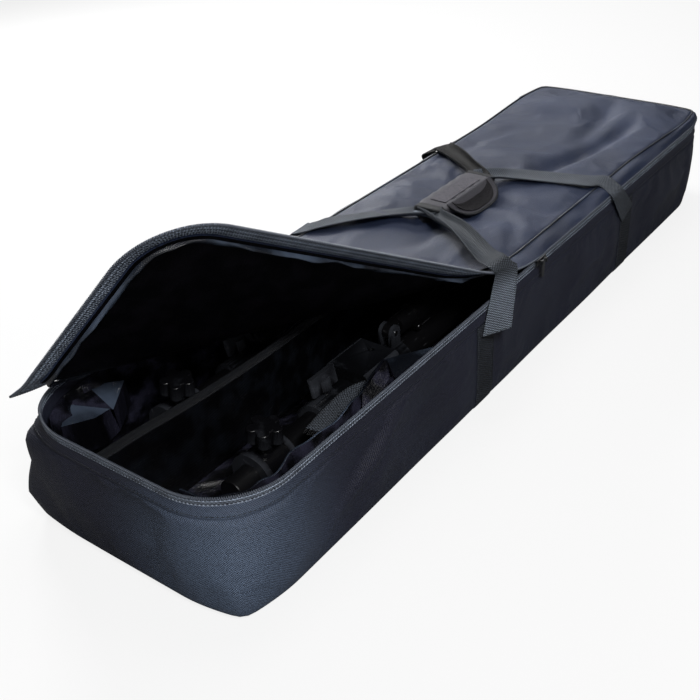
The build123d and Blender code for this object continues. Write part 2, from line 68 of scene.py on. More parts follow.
strap_places = [sum(corner.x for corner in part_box("girth_strap_" + end)) / 2 for end in ("near", "far")]
strap_width = 0.038
strap_thickness = 0.0016
floor_gap = 0.0004
strap_lift = 0.0026
strap_pull = 0.045
wall_foot = 0.016
shell_step = 0.007
wall_belly = 0.004
wall_fold = 0.0022
wall_fold_length = 0.2
drag_line = (-0.308, 0.119, 0.52)
drag_lift = 0.009
hollow_line = (-0.3, 0.072, 0.2)
hollow_sink = 0.005
seam_sink = 0.0013
rim_tilt = 0.003
rim_round = 0.0012
rim_depth = 0.03
wall_growth = 0.012
wall_stiffness = 0.4
wall_slack = 0.006
cloth_mass = 0.3
settling_frames = 24
weld = 0.0003
slump_heights = (0, 0.015, 0.035, 0.075, 0.105, 0.132)
near_left_squares = (0.75, 0.85, 1.0, 0.58, 0.64, 0.05)
near_right_squares = (0.55, 0.55, 0.5, 0.3, 0.15, 0.0)
far_squares = (0.0, 0.04, 0.1, 0.25, 0.42, 0.6)


class Shade:
    """A socket of a material's nodes: arithmetic on it adds Math nodes, and node() adds any other."""

    def __init__(self, tree, socket=None):
        self.tree = tree
        self.socket = socket

    def node(self, kind, settings=(), inputs=(), output=0):
        made = self.tree.nodes.new("ShaderNode" + kind)
        for name, value in dict(settings).items():
            setattr(made, name, value)
        for name, value in dict(inputs).items():
            if isinstance(value, Shade):
                self.tree.links.new(value.socket, made.inputs[name])
            else:
                made.inputs[name].default_value = value
        return Shade(self.tree, made.outputs[output])

    def maths(self, operation, *values):
        return self.node("Math", {"operation": operation}, enumerate(values))

    def __add__(self, other):
        return self.maths("ADD", self, other)

    def __radd__(self, other):
        return self.maths("ADD", other, self)

    def __sub__(self, other):
        return self.maths("SUBTRACT", self, other)

    def __rsub__(self, other):
        return self.maths("SUBTRACT", other, self)

    def __mul__(self, other):
        return self.maths("MULTIPLY", self, other)

    def __rmul__(self, other):
        return self.maths("MULTIPLY", other, self)

    def wave(self, pitch):
        return self.maths("SINE", self * (math.tau / pitch))

    def clamped(self):
        return self.maths("MINIMUM", self.maths("MAXIMUM", self, 0.0), 1.0)

    def over(self, low, high):
        sockets = {"Value": self, "From Min": low, "From Max": high}
        return self.node("MapRange", {"interpolation_type": "SMOOTHSTEP"}, sockets)

    def between(self, first, second):
        return self.node("Mix", {"data_type": "RGBA"}, {0: self, 6: first, 7: second}, 2)


def tone(red, green, blue):
    """A colour given as it looks on screen, 0 to 255, as the linear colour that a shader takes."""
    parts = [c / 255 for c in (red, green, blue)]
    return tuple(c / 12.92 if c < 0.04045 else ((c + 0.055) / 1.055) ** 2.4 for c in parts) + (1.0,)


def surface(name, roughness, specular=0.5):
    """A new material, a Shade to build on and its main shader."""
    material = bpy.data.materials.new(name)
    material.use_nodes = True
    shader = material.node_tree.nodes["Principled BSDF"]
    shader.inputs["Roughness"].default_value = roughness
    shader.inputs["Specular IOR Level"].default_value = specular
    return material, Shade(material.node_tree), shader


def feed(shader, socket, shade):
    """Links what varies over a surface to one of its shader's sockets."""
    shade.tree.links.new(shade.socket, shader.inputs[socket])


def bumped(shade, shader, height, distance, strength=1.0):
    """Fine relief of the surface, too small to be modelled."""
    sockets = {"Height": height, "Distance": distance, "Strength": strength}
    feed(shader, "Normal", shade.node("Bump", {}, sockets))


def cloth_place(shade):
    """Where a point lies on its cloth, across and along in metres, from the piece's own lay-out."""
    spot = shade.node("UVMap", {"uv_map": "cloth"})
    across = shade.node("SeparateXYZ", {}, {0: spot}, 0)
    along = shade.node("SeparateXYZ", {}, {0: spot}, 1)
    return across, along, spot


def cloudy(shade, spot, size, detail=2.0):
    """Soft mottling with patches about `size` metres across, from 0 to 1."""
    return shade.node("TexNoise", {}, {"Vector": spot, "Scale": 1 / size, "Detail": detail})


def woven_nylon(name, dark, light, thread, gloss, sheen_place=None):
    """Plain-woven nylon: crossing threads, dusty mottling, a bluish sheen, and a painted sheen round a given
    place.
    """
    material, shade, shader = surface(name, gloss)
    across, along, spot = cloth_place(shade)
    slub = cloudy(shade, spot, 0.003)
    weave = (across + slub * thread).wave(2 * thread) * (along + slub * thread).wave(2 * thread)
    dust = cloudy(shade, spot, 0.09, 4.0)
    faded = cloudy(shade, spot, 0.3, 2.0)
    bright = weave * 0.42 + slub * 0.5 + dust * 0.5 + faded * 0.5 - 0.25
    colour = bright.clamped().between(dark, light)
    if sheen_place:
        # A pale patch round the given place is a painted sheen, standing in for the light that the near
        # corner reflects.
        place = shade.node("TexCoord", {}, {}, "Object")
        away = shade.node("VectorMath", {"operation": "DISTANCE"}, {0: place, 1: sheen_place}, "Value")
        painted_sheen = away.over(0.17, 0.0) * (weave * 0.55 + slub * 0.6 + 0.3).clamped()
        colour = painted_sheen.between(colour, tone(112, 130, 156))
    feed(shader, "Base Color", colour)
    feed(shader, "Roughness", gloss - 0.12 + dust * 0.16 + weave * 0.06)
    bumped(shade, shader, weave + slub * 1.2, thread * 0.3, 0.8)
    shader.inputs["Sheen Weight"].default_value = 0.05
    shader.inputs["Sheen Roughness"].default_value = 0.4
    shader.inputs["Sheen Tint"].default_value = tone(150, 170, 205)
    return material


def strip(grid, around=False, along=False, capped=False, lay=None):
    """A grid of points for piece(): whether columns or rows close on themselves, and its cloth lay-out."""
    grid = np.asarray(grid, float)
    closed = grid
    if around:
        closed = np.concatenate([closed, closed[:, :1]], axis=1)
    if along:
        closed = np.concatenate([closed, closed[:1]], axis=0)
    if lay is None:
        steps_across = np.linalg.norm(np.diff(closed, axis=1), axis=2).mean(axis=0)
        steps_along = np.linalg.norm(np.diff(closed, axis=0), axis=2).mean(axis=1)
        across = np.concatenate([[0], np.cumsum(steps_across)])
        down = np.concatenate([[0], np.cumsum(steps_along)])
        lay = np.stack(np.meshgrid(across, down), axis=2)
    return grid, around, along, capped, lay


def piece(name, strips, material, merge=None):
    """One object made of strips, with a smooth surface, outward faces and a cloth lay-out in metres."""
    points, faces, places = [], [], []
    first = 0
    for grid, around, along, capped, lay in strips:
        rows, columns = grid.shape[:2]
        number = first + np.arange(rows * columns).reshape(rows, columns)
        first += rows * columns
        points.append(grid.reshape(-1, 3))
        ends = [number[0, ::-1], number[-1]]
        if around:
            number = np.concatenate([number, number[:, :1]], axis=1)
        if along:
            number = np.concatenate([number, number[:1]], axis=0)
        corners = [(0, 0), (0, 1), (1, 1), (1, 0)]
        high, wide = number.shape
        quads = [number[i:high - 1 + i, j:wide - 1 + j].ravel() for i, j in corners]
        faces += np.stack(quads, axis=1).tolist()
        laid = [lay[i:high - 1 + i, j:wide - 1 + j].reshape(-1, 2) for i, j in corners]
        places.append(np.stack(laid, axis=1).reshape(-1, 2))
        if capped:
            for end, row in zip(ends, (lay[0, columns - 1::-1], lay[-1, :columns])):
                faces.append(end.tolist())
                places.append(row)
    mesh = bpy.data.meshes.new(name)
    mesh.from_pydata(np.concatenate(points).tolist(), [], faces)
    sheet_map = mesh.uv_layers.new(name="cloth")
    sheet_map.data.foreach_set("uv", np.concatenate(places).astype(np.float32).ravel())
    work = bmesh.new()
    work.from_mesh(mesh)
    if merge:
        bmesh.ops.remove_doubles(work, verts=work.verts, dist=merge)
    bmesh.ops.recalc_face_normals(work, faces=work.faces)
    for face in work.faces:
        face.smooth = True
    work.to_mesh(mesh)
    work.free()
    mesh.materials.append(material)
    made = bpy.data.objects.new(name, mesh)
    bpy.context.scene.collection.objects.link(made)
    return made


class Ring:
    """Places round the bag's outline, a step apart, from the near left corner by the front to the far end."""

    def __init__(self, step):
        flat_x = half_length - corner_radius
        flat_y = half_width - corner_radius
        corners = [(-flat_x, flat_y), (-flat_x, -flat_y), (flat_x, -flat_y), (flat_x, flat_y)]
        centres, facings = [], []
        for index, here in enumerate(corners):
            there = corners[(index + 1) % 4]
            start = math.pi / 2 * (index + 1)
            finish = start + math.pi / 2
            turns = round(corner_radius * math.pi / 2 / step)
            for turn in range(turns):
                angle = start + math.pi / 2 * turn / turns
                centres.append(here)
                facings.append((math.cos(angle), math.sin(angle)))
            count = round(math.dist(here, there) / step)
            for part in range(count):
                centres.append([a + (b - a) * part / count for a, b in zip(here, there)])
                facings.append((math.cos(finish), math.sin(finish)))
        self.centres = np.array(centres)
        self.facings = np.array(facings)
        sharpness = 12
        self.square = (np.abs(self.facings) ** sharpness).sum(axis=1) ** (-1 / sharpness) - 1
        near = self.centres[:, 0] < 0
        left = self.centres[:, 1] > 0
        self.corners = np.array([near & left, near & ~left, ~near], float)

    def squared(self, shape):
        return 1 + self.square * (np.array(shape) @ self.corners)

    def at(self, inset, height, shape=(0, 0, 0)):
        """The points at an inset and height, the near left, near right and far corners squared so much."""
        room = (corner_radius - np.broadcast_to(inset, len(self.centres))) * self.squared(shape)
        flat = self.centres + room[:, None] * self.facings
        return np.column_stack([flat, np.broadcast_to(height, len(flat))])

    def inward(self, inset, rows, height, shape=(0, 0, 0)):
        """Rings from that inset in to the bag's middle, at the height that a function of place gives."""
        rings = []
        for part in np.linspace(0, 1, rows):
            depth = np.broadcast_to(inset + (half_width - inset) * part, len(self.centres))
            past = np.maximum(depth - corner_radius, 0)
            room = np.maximum(corner_radius - depth, 0) * self.squared(shape)
            left = [1 - past / (half_length - corner_radius), 1 - past / (half_width - corner_radius)]
            flat = self.centres * np.column_stack(left) + room[:, None] * self.facings
            rings.append(np.column_stack([flat, height(flat[:, 0], flat[:, 1], depth)]))
        return np.array(rings)


def ripple(u, v, length, seed):
    """Soft irregular folds about `length` metres long: slanting waves added up, mostly between -1 and 1."""
    dice = np.random.default_rng(seed)
    total = 0
    for _ in range(7):
        angle, phase = dice.uniform(0, math.tau, 2)
        span = length * dice.uniform(0.6, 1.7)
        total = total + np.sin(math.tau * (u * math.cos(angle) + v * math.sin(angle)) / span + phase)
    return total / 3


def hump(value, middle, spread):
    """1 at the middle, falling smoothly to 0 on both sides."""
    return np.exp(-(((value - middle) / spread) ** 2))


def eased(value, low, high):
    """From 0 to 1 between two values, with a soft start and end."""
    part = np.clip((value - low) / (high - low), 0, 1)
    return part * part * (3 - 2 * part)


def eased_to(value, limit):
    """The value, bent over smoothly so that it stays within the limit both ways."""
    return limit * np.tanh(value / limit)


def strap_hold(x):
    """How free the padding is along the bag: 1 between the straps, less under them."""
    return 1 - 0.8 * sum(hump(x, place, strap_pull) for place in strap_places)


def slanting(x, z, line, spread):
    """A crease along a slanting line on the wall, given by a place on it, its height there and its slope."""
    place, height, slope = line
    return hump(z, height + slope * (x - place), spread)


def wall_bulge(x, y, z):
    """How far the padded wall stands out from the line of its seams."""
    rise = np.clip(z / (wall_top - top_band), 0, 1)
    belly = np.sin(math.pi * rise) * strap_hold(x)
    folds = wall_fold * ripple(x + y - 0.7 * z, 0.6 * z, wall_fold_length, 3)
    drag = slanting(x, z, drag_line, 0.011) * hump(x, -0.37, 0.07)
    hollow = slanting(x, z, hollow_line, 0.015) * hump(x, -0.28, 0.07)
    front_crease = (drag_lift * drag - hollow_sink * hollow) * (y < 0)
    seam = seam_sink * hump(z, wall_top - top_band, 0.0016)
    lean = rim_tilt * eased(z, wall_top - top_band, wall_top)
    return belly * (wall_belly + folds + front_crease) - seam - lean


def base_height(x, *_):
    """The base lies on the floor, lifted where the straps pass under it."""
    ramps = [np.clip(1.6 - np.abs(x - place) / 0.014, 0, 1) for place in strap_places]
    return floor_gap + strap_lift * sum(ramps)


def slumped(height):
    """How square each corner of the wall has become at that height."""
    squares = (near_left_squares, near_right_squares, far_squares)
    return [float(np.interp(height, slump_heights, square)) for square in squares]


def slack(rings, held, growth, stiffness):
    """How far each point of a cloth cut too large moves as it buckles between the places that hold it."""
    rings = np.asarray(rings, float)
    loose = piece("loose_cloth", [strip(rings, around=True)], None, weld)
    corners = loose.data.vertices
    finder = KDTree(len(corners))
    for corner in corners:
        finder.insert(corner.co, corner.index)
    finder.balance()
    welded = np.array([finder.find(spot)[1] for spot in rings.reshape(-1, 3)])
    group = loose.vertex_groups.new(name="held")
    for weight in np.unique(held):
        group.add(np.unique(welded[held.ravel() == weight]).tolist(), float(weight), "REPLACE")
    settings = loose.modifiers.new("cloth", "CLOTH").settings
    settings.vertex_group_mass = "held"
    settings.effector_weights.gravity = 0
    settings.shrink_min = -growth
    settings.bending_stiffness = stiffness
    settings.mass = cloth_mass
    scene = bpy.context.scene
    for moment in range(1, settling_frames + 1):
        scene.frame_set(moment)
    shaped = loose.evaluated_get(bpy.context.evaluated_depsgraph_get())
    settled = np.empty(3 * len(corners))
    shaped.data.vertices.foreach_get("co", settled)
    scene.frame_set(1)
    bpy.data.objects.remove(loose)
    return settled.reshape(-1, 3)[welded].reshape(rings.shape) - rings


shell_ring = Ring(shell_step)
shell_heights = np.concatenate([
    np.linspace(0, 1, 7) ** 2 * base_roll,
    np.linspace(wall_foot, wall_top - top_band - 0.004, 22),
    wall_top - top_band + np.linspace(-0.002, 0.004, 7),
    np.linspace(wall_top - 0.009, wall_top, 4),
])
shell_insets, shell_rows, shell_held = [], [], []
for height in shell_heights:
    rolled = max(base_roll - height, 0)
    here = shell_ring.at(0, height)
    bulge = wall_bulge(here[:, 0], here[:, 1], here[:, 2])
    shell_insets.append(base_roll - math.sqrt(base_roll ** 2 - rolled ** 2) - bulge)
    shell_rows.append(shell_ring.at(shell_insets[-1], height, slumped(height)))
    strapped = np.min([np.abs(here[:, 0] - place) for place in strap_places], axis=0) < strap_width * 0.7
    sewn = height < base_roll + 0.001 or height > wall_top - top_band - 0.003
    shell_held.append(np.where(strapped | sewn, 1.0, 0.0))
shell_facing = np.column_stack([shell_ring.facings, np.zeros(len(shell_ring.facings))])
shell_moves = slack(shell_rows, np.array(shell_held), wall_growth, wall_stiffness)
shell_rows = []
for height, inset, moves in zip(shell_heights, shell_insets, shell_moves):
    outward = eased_to((moves * shell_facing).sum(axis=1), wall_slack)
    lift = base_height(shell_ring.at(0, height)[:, 0]) * max(1 - height / base_roll, 0)
    shell_rows.append(shell_ring.at(inset - outward, height + lift, slumped(height)))
rim_shape = slumped(wall_top)
shell_rows.append(shell_ring.at(wall_thickness - 0.001, wall_top + rim_round, rim_shape))
shell_rows.append(shell_ring.at(wall_thickness, wall_top - 0.0005, rim_shape))
shell_rows.append(shell_ring.at(wall_thickness, wall_top - rim_depth))
# Lid, gusset, base and walls are one cloth: the lid's copy is brighter and bluer as painted light, the walls'
# darker as painted shade.
nylon = woven_nylon("outer_nylon", tone(12, 15, 25), tone(54, 66, 97), 0.0007, 0.46)
# The pale patch round this place on the near corner is a painted sheen.
sheen_corner = (-0.585, -0.13, 0.06)
shaded_wall_nylon = woven_nylon("shaded_wall_nylon", tone(9, 9, 15), tone(46, 48, 69), 0.0012, 0.58, sheen_corner)
shell = piece("shell_wall", [strip(shell_rows, around=True)], shaded_wall_nylon)
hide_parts("side_wall")
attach(shell, "bag")
base_rings = shell_ring.inward(base_roll, 14, base_height, slumped(0))
base = piece("shell_base", [strip(base_rings, around=True)], nylon, weld)
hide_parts("base_panel")
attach(base, "bag")


def thread_run(path, outward, length, gap, radius):
    """A row of stitches lying along a path: each a short thread, humped and sunk at both ends."""
    path = np.asarray(path, float)
    outward = np.broadcast_to(outward, path.shape)
    reach = np.concatenate([[0], np.cumsum(np.linalg.norm(np.diff(path, axis=0), axis=1))])
    strips = []
    angles = np.linspace(0, math.tau, 5, endpoint=False)
    for start in np.arange(gap, reach[-1] - length, length + gap):
        spots = start + length * np.array([0, 0.2, 0.5, 0.8, 1])
        line = np.column_stack([np.interp(spots, reach, path[:, axis]) for axis in range(3)])
        up = np.array([np.interp(start, reach, outward[:, axis]) for axis in range(3)])
        up = up / np.linalg.norm(up)
        ahead = line[-1] - line[0]
        side = np.cross(ahead / np.linalg.norm(ahead), up)
        line = line + up * (radius * np.array([-0.9, 0.2, 0.5, 0.2, -0.9]))[:, None]
        turned = np.cos(angles)[:, None] * side + np.sin(angles)[:, None] * up
        strips.append(strip(line[:, None] + radius * turned, around=True, capped=True))
    return strips


def sewing_thread(name, colour):
    """Twisted polyester thread."""
    material, shade, shader = surface(name, 0.5)
    across, along, _ = cloth_place(shade)
    twist = (across + along).wave(0.0012)
    feed(shader, "Base Color", (twist * 0.5 + 0.5).between(tone(10, 10, 13), colour))
    bumped(shade, shader, twist, 0.0002, 0.8)
    return material


stitch_length = 0.0036
stitch_gap = 0.0014
stitch_radius = 0.0004
black_thread = sewing_thread("black_thread", tone(62, 66, 76))
seam_height = wall_top - top_band + 0.0042
here = shell_ring.at(0, seam_height)
bulge = wall_bulge(here[:, 0], here[:, 1], here[:, 2])
seam_line = shell_ring.at(-bulge, seam_height, slumped(seam_height))
seam_line = np.concatenate([seam_line, seam_line[:1]])
seam_facing = np.concatenate([shell_facing, shell_facing[:1]])
rim_stitches = thread_run(seam_line, seam_facing, stitch_length, stitch_gap, stitch_radius)
rim_seam = piece("wall_rim_stitches", rim_stitches, black_thread)
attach(rim_seam, "bag")

# Lining: a tray of thin glossy coated nylon, sewn in along the zip and slack everywhere else.
# Along the front it falls in over itself as a loose shelf, and in the near left corner it is crumpled.
lining_inset = 0.0068
lining_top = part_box("bag_lining")[1].z
lining_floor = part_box("base_board")[1].z + 0.001
lining_roll = 0.012
lining_step = 0.005
shelf_places = (-0.6, -0.56, -0.45, -0.39, -0.34, -0.295, -0.25, -0.19, -0.1)
shelf_depths = (0.014, 0.018, 0.023, 0.022, 0.033, 0.042, 0.022, 0.003, 0.000)
shelf_falls = (0, 0.06, 0.12, 0.2, 0.3, 0.5, 0.8, 1)
shelf_profile = (0, 0.2, 0.5, 0.8, 0.9, 0.5, 0.15, 0)
bunch_depth = 0.016
bunch_crease = 0.034
lining_wave = 0.0012
lining_growth = 0.03
lining_stiffness = 0.1
lining_in = (-0.002, 0.012)
lining_drop = (-0.004, 0.002)
bed_wave = 0.0006


def coated_nylon(name, dark, light, gloss, specular, size=0.03):
    """Thin coated lining cloth: fine ripstop lines, creases, and pale patches painted where creases catch the
    light.
    """
    material, shade, shader = surface(name, gloss, specular)
    across, along, spot = cloth_place(shade)
    lines = across.wave(0.0022) * along.wave(0.0022)
    crumple_and_glint = cloudy(shade, spot, size, 4.0)
    # The pale patches in the colour are painted highlights; the same noise also roughens and bumps the cloth.
    feed(shader, "Base Color", crumple_and_glint.over(0.42, 0.64).between(dark, light))
    feed(shader, "Roughness", gloss - 0.1 + crumple_and_glint * 0.2)
    bumped(shade, shader, crumple_and_glint * 6.0 + lines * 0.3, 0.001, 0.6)
    return material


def facets(value):
    """A sharp zigzag between 0 and 1, for creased cloth."""
    return np.abs(2 * (value - np.floor(value)) - 1)


def lining_slack(x, y, fall):
    """How far the lining hangs in from the wall, from its top (fall 0) down to the floor (1)."""
    shelf = np.interp(x, shelf_places, shelf_depths) * eased(-y, 0.02, 0.08)
    profile = np.interp(fall, shelf_falls, shelf_profile)
    corner = hump(x, -0.53, 0.06) * hump(y, 0.14, 0.05) * hump(fall, 0.25, 0.25)
    creased = facets((x * 0.8 + y) / 0.075 + fall * 0.9) * facets((x - y * 0.6) / 0.085 - fall * 1.3)
    near = hump(x, -0.6, 0.04) * 0.004 * (1 + ripple(y, fall * 0.1, 0.05, 5))
    waves = lining_wave * (1 + ripple(x + y, fall * 0.12, 0.07, 11))
    bunched = corner * (bunch_depth + bunch_crease * creased)
    return shelf * profile + bunched + (near + waves) * np.sin(math.pi * fall)


lining_ring = Ring(lining_step)
lining_facing = np.column_stack([lining_ring.facings, np.zeros(len(lining_ring.facings))])
lining_depth = lining_top - lining_floor - lining_roll
lining_heights, lining_insets, lining_rows = [], [], []
for fall in np.concatenate([np.linspace(0, 0.16, 7), np.linspace(0.2, 1, 21)]):
    height = lining_top - lining_depth * (fall if fall > 0.16 else fall * fall / 0.16)
    here = lining_ring.at(lining_inset, height)
    lining_heights.append(height)
    lining_insets.append(lining_inset + lining_slack(here[:, 0], here[:, 1], fall))
    lining_rows.append(lining_ring.at(lining_insets[-1], height))
lining_held = np.zeros((len(lining_rows), len(lining_facing)))
lining_held[[0, -1]] = 1
lining_moves = slack(lining_rows, lining_held, lining_growth, lining_stiffness)
for row, (height, inset, moves) in enumerate(zip(lining_heights, lining_insets, lining_moves)):
    inward = np.clip(-(moves * lining_facing).sum(axis=1), *lining_in)
    inset = np.maximum(inset + inward, lining_inset)
    lining_rows[row] = lining_ring.at(inset, height + np.clip(moves[:, 2], *lining_drop))
for turn in np.linspace(0, math.pi / 2, 5)[1:]:
    inset = lining_inset + lining_roll * (1 - math.cos(turn))
    lining_rows.append(lining_ring.at(inset, lining_floor + lining_roll * (1 - math.sin(turn))))


def lining_bed(x, y, depth):
    """The tray's floor, lying on the board in slight waves away from its rounded edge."""
    rise = np.clip((depth - lining_inset - lining_roll) / 0.02, 0, 1)
    return lining_floor + bed_wave * (1 + ripple(x, y, 0.07, 21)) * rise


bed_rows = lining_ring.inward(lining_inset + lining_roll, 12, lining_bed)[1:]
lining_cloth = coated_nylon("lining", tone(8, 8, 12), tone(49, 49, 65), 0.24, 0.7)
lining_strip = strip(np.concatenate([lining_rows, bed_rows]), around=True)
lining = piece("lining_tray", [lining_strip], lining_cloth, weld)
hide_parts("bag_lining")
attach(lining, "bag")

# Lining folds: along the front the slack lining stands up in one long fold with a shiny crest, pulled out to
# a point where the stand leans on it. In the near left corner it is bunched into sharp flat facets.
# They are the same cloth; three facets and the crest take a paler copy of it, as painted highlights.
crest_height = 0.1255
crest_course = ((-0.007, -0.02), (-0.003, -0.008), (-0.0012, -0.0004), (0.0008, -0.0004), (0.0018, -0.004))
crest_course += ((0.001, -0.02), (-0.004, -0.045))
crest_from = -0.29
crest_sway = 0.0015
peak_wall = ((-0.249, -0.145, 0.131), (-0.323, -0.144, 0.131))
peak_dip = ((-0.315, -0.138, 0.114), (-0.385, -0.143, 0.110))
tuck_top = ((-0.505, 0.142, 0.122), (-0.469, 0.123, 0.115), (-0.509, 0.099, 0.108))
tuck_low = ((-0.5386, 0.139, 0.118), (-0.5115, 0.101, 0.110))
tuck_low += ((-0.5336, 0.0996, 0.112), (-0.567, 0.1127, 0.116))
tuck_foot = ((-0.574, 0.104, 0.080), (-0.528, 0.096, 0.074), (-0.500, 0.106, 0.072), (-0.462, 0.128, 0.076))
# This paler copy of the lining cloth is a painted highlight, used on the crest, three facets and the lid's
# hem.
painted_shine_lining = coated_nylon("painted_shine_lining", tone(22, 25, 32), tone(84, 96, 115), 0.22, 0.7, 0.12)


def facet(*corners):
    """One flat facet of creased cloth between four corners, or three with the last given twice."""
    a, b, c, d = (np.array(corner) for corner in corners)
    grid = np.array([[a, b], [d, c]])
    return strip(grid, lay=grid[..., :2])


here = lining_ring.at(lining_inset, crest_height)
folded = (here[:, 0] < crest_from) & (here[:, 1] < -0.07)
shelf = np.interp(here[:, 0], shelf_places, shelf_depths)
crest_rows = []
for out, fall in crest_course:
    sway = crest_sway * ripple(here[:, 0], here[:, 1], 0.05, 51)
    crest_rows.append(lining_ring.at(lining_inset + shelf + out + sway, crest_height + fall + sway)[folded])
crest = piece("lining_crest", [strip(crest_rows[2:5])], painted_shine_lining)
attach(crest, "bag")
fold = piece("lining_fold", [strip(crest_rows[:3]), strip(crest_rows[4:])], lining_cloth)
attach(fold, "bag")
peak, crest_end = crest_rows[3][-1], crest_rows[2][-14]
painted_highlight_facets = [facet(tuck_top[0], tuck_top[1], tuck_top[2], tuck_top[2]), facet(*tuck_low)]
painted_highlight_facets.append(facet(peak_wall[0], peak, peak_wall[1], peak_wall[1]))
painted_highlights = piece("lining_turn", painted_highlight_facets, painted_shine_lining)
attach(painted_highlights, "bag")
dull_facets = [facet(tuck_low[0], tuck_top[0], tuck_top[2], tuck_low[1])]
dull_facets.append(facet(tuck_low[3], tuck_low[2], tuck_foot[1], tuck_foot[0]))
dull_facets.append(facet(tuck_low[2], tuck_low[1], tuck_foot[2], tuck_foot[1]))
dull_facets.append(facet(tuck_top[2], tuck_top[1], tuck_foot[3], tuck_foot[2]))
dull_facets.append(facet(peak, peak_wall[1], peak_dip[0], peak_dip[0]))
dull_facets.append(facet(peak, crest_end, peak_dip[1], peak_dip[0]))
tuck = piece("lining_tuck", dull_facets, lining_cloth)
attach(tuck, "bag")

# Stiffening board: a plain grey board under the lining, out of sight while the bag is whole.
# It is dull pressed fibre, faintly flecked.


def fibre_board(name):
    material, shade, shader = surface(name, 0.85, 0.3)
    spot = shade.node("TexCoord", {}, {}, "Object")
    fleck = cloudy(shade, spot, 0.003, 4.0)
    feed(shader, "Base Color", fleck.between(tone(70, 68, 64), tone(112, 108, 100)))
    bumped(shade, shader, fleck, 0.0004, 0.5)
    return material


def dress(node, material):
    """Gives a piece that stays as the CAD made it its finish."""
    slots = frame["nodes"][node].data.materials
    slots.clear()
    slots.append(material)


dress("base_board", fibre_board("board"))

# Divider: a padded board on edge down the bag, covered in the lining cloth, its top edge bound with tape.
# The binding is folded over the edge and stitched through, and it sags away from the near end.
divider_y = sum(corner.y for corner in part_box("divider")) / 2
divider_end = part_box("divider")[1].x
divider_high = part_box("divider_binding")[1].z
divider_sag = 0.015
divider_sag_length = 0.26
divider_half = 0.0025
divider_round = 0.0006
divider_wave = 0.0018
binding_depth = 0.009
binding_thickness = 0.0012


def divider_top(x):
    """The divider's top edge: high at the near end, easing down to its sag."""
    return divider_high - divider_sag * eased(x, -divider_end, divider_sag_length - divider_end)


def divider_wander(x, z):
    """The padded divider leans and ripples a little to each side."""
    rise = np.clip((z - lining_floor) / (divider_high - lining_floor), 0, 1)
    ends = 1 - hump(np.abs(x), divider_end, 0.05)
    return rise * ends * divider_wave * ripple(x, z, 0.2, 8)


def upright(levels, half, proud):
    """A slab standing along the divider: rows along it, columns up one face and down the other."""
    rows = []
    for x in divider_stations:
        rising = list(levels(x))
        column = [(z, -1) for z in rising] + [(rising[-1] + proud, 0)] + [(z, 1) for z in reversed(rising)]
        rows.append([(x, divider_y + side * half + float(divider_wander(x, z)), z) for z, side in column])
    return strip(rows, around=True, capped=True)


def divider_levels(x):
    return np.linspace(lining_floor + 0.001, divider_top(x) - binding_thickness, 12)


def binding_levels(x):
    return np.linspace(divider_top(x) - binding_depth, divider_top(x) - binding_thickness, 4)


def ribbed_tape(name, dark, light, rib, gloss, cords=0.0):
    """Narrow woven tape: fine ribs across it, a slight shine on them, and thick cords woven in along it."""
    material, shade, shader = surface(name, gloss)
    across, along, spot = cloth_place(shade)
    ribs = across.wave(rib)
    weave = across.wave(rib * 2) * along.wave(rib * 1.3)
    wear = cloudy(shade, spot, 0.02, 4.0)
    bright = ribs * 0.25 + weave * 0.25 + wear * 0.9 - 0.05
    if cords:
        bright = bright + along.wave(cords) * 0.3
    feed(shader, "Base Color", bright.clamped().between(dark, light))
    feed(shader, "Roughness", gloss + wear * 0.15)
    bumped(shade, shader, ribs + weave, rib * 0.3, 0.9)
    return material


divider_stations = np.linspace(-divider_end, divider_end, 150)
# A darker copy of the lining cloth: painted shade for the divider's place deep in the bag.
shaded_divider_cloth = coated_nylon("shaded_divider_cloth", tone(3, 3, 5), tone(15, 18, 24), 0.36, 0.4)
divider = piece("divider_pad", [upright(divider_levels, divider_half, divider_round)], shaded_divider_cloth)
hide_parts("divider")
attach(divider, "bag")
tape_cloth = ribbed_tape("binding_tape", tone(8, 9, 12), tone(34, 38, 46), 0.0016, 0.5)
binding_strip = upright(binding_levels, divider_half + binding_thickness, binding_thickness)
binding = piece("divider_edge_tape", [binding_strip], tape_cloth)
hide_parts("divider_binding")
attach(binding, "bag")
binding_stitches = []
for side in (-1, 1):
    seam_z = divider_top(divider_stations) - binding_depth + 0.002
    seam_y = divider_y + side * (divider_half + binding_thickness) + divider_wander(divider_stations, seam_z)
    seam_path = np.column_stack([divider_stations, seam_y, seam_z])
    binding_stitches += thread_run(seam_path, (0, side, 0), stitch_length, stitch_gap, stitch_radius)
divider_seam = piece("divider_stitches", binding_stitches, black_thread)
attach(divider_seam, "bag")

# Lid: one soft padded panel, sewn along the back and far end, zipped round the rest.
# Its near corner has been thrown back, so it curls up about a slanting line and stands free.
chain_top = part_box("closed_zip_teeth")[1].z
lid_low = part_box("lid_panel")[0].z
lid_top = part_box("lid_panel")[1].z
lid_mid = (lid_top + lid_low) / 2
lid_shape = (0.75, 0, 0.75)
curl_start_x = -0.508
curl_slant = math.radians(31)
curl_radius = 0.09
curl_turn = math.radians(62)
curl_arc = curl_radius * curl_turn
curl_along = np.array([math.cos(curl_slant), -math.sin(curl_slant), 0])
curl_onward = np.array([-math.sin(curl_slant), -math.cos(curl_slant), 0])
curl_root = np.array([curl_start_x, half_width, lid_mid])
upward = np.array([0, 0, 1.0])
crown_height = 0.005
lid_round = 0.0022
lid_round_width = 0.004
lid_fold = 0.0026
lid_ripple = 0.0008
under_sag = 0.0016
under_fold = 0.0018
strap_press = 0.003
grip_press = 0.006
lid_growth = 0.015
lid_stiffness = 0.15
lid_lift = 0.003
lid_slack = 0.006
lid_weld = 0.00002
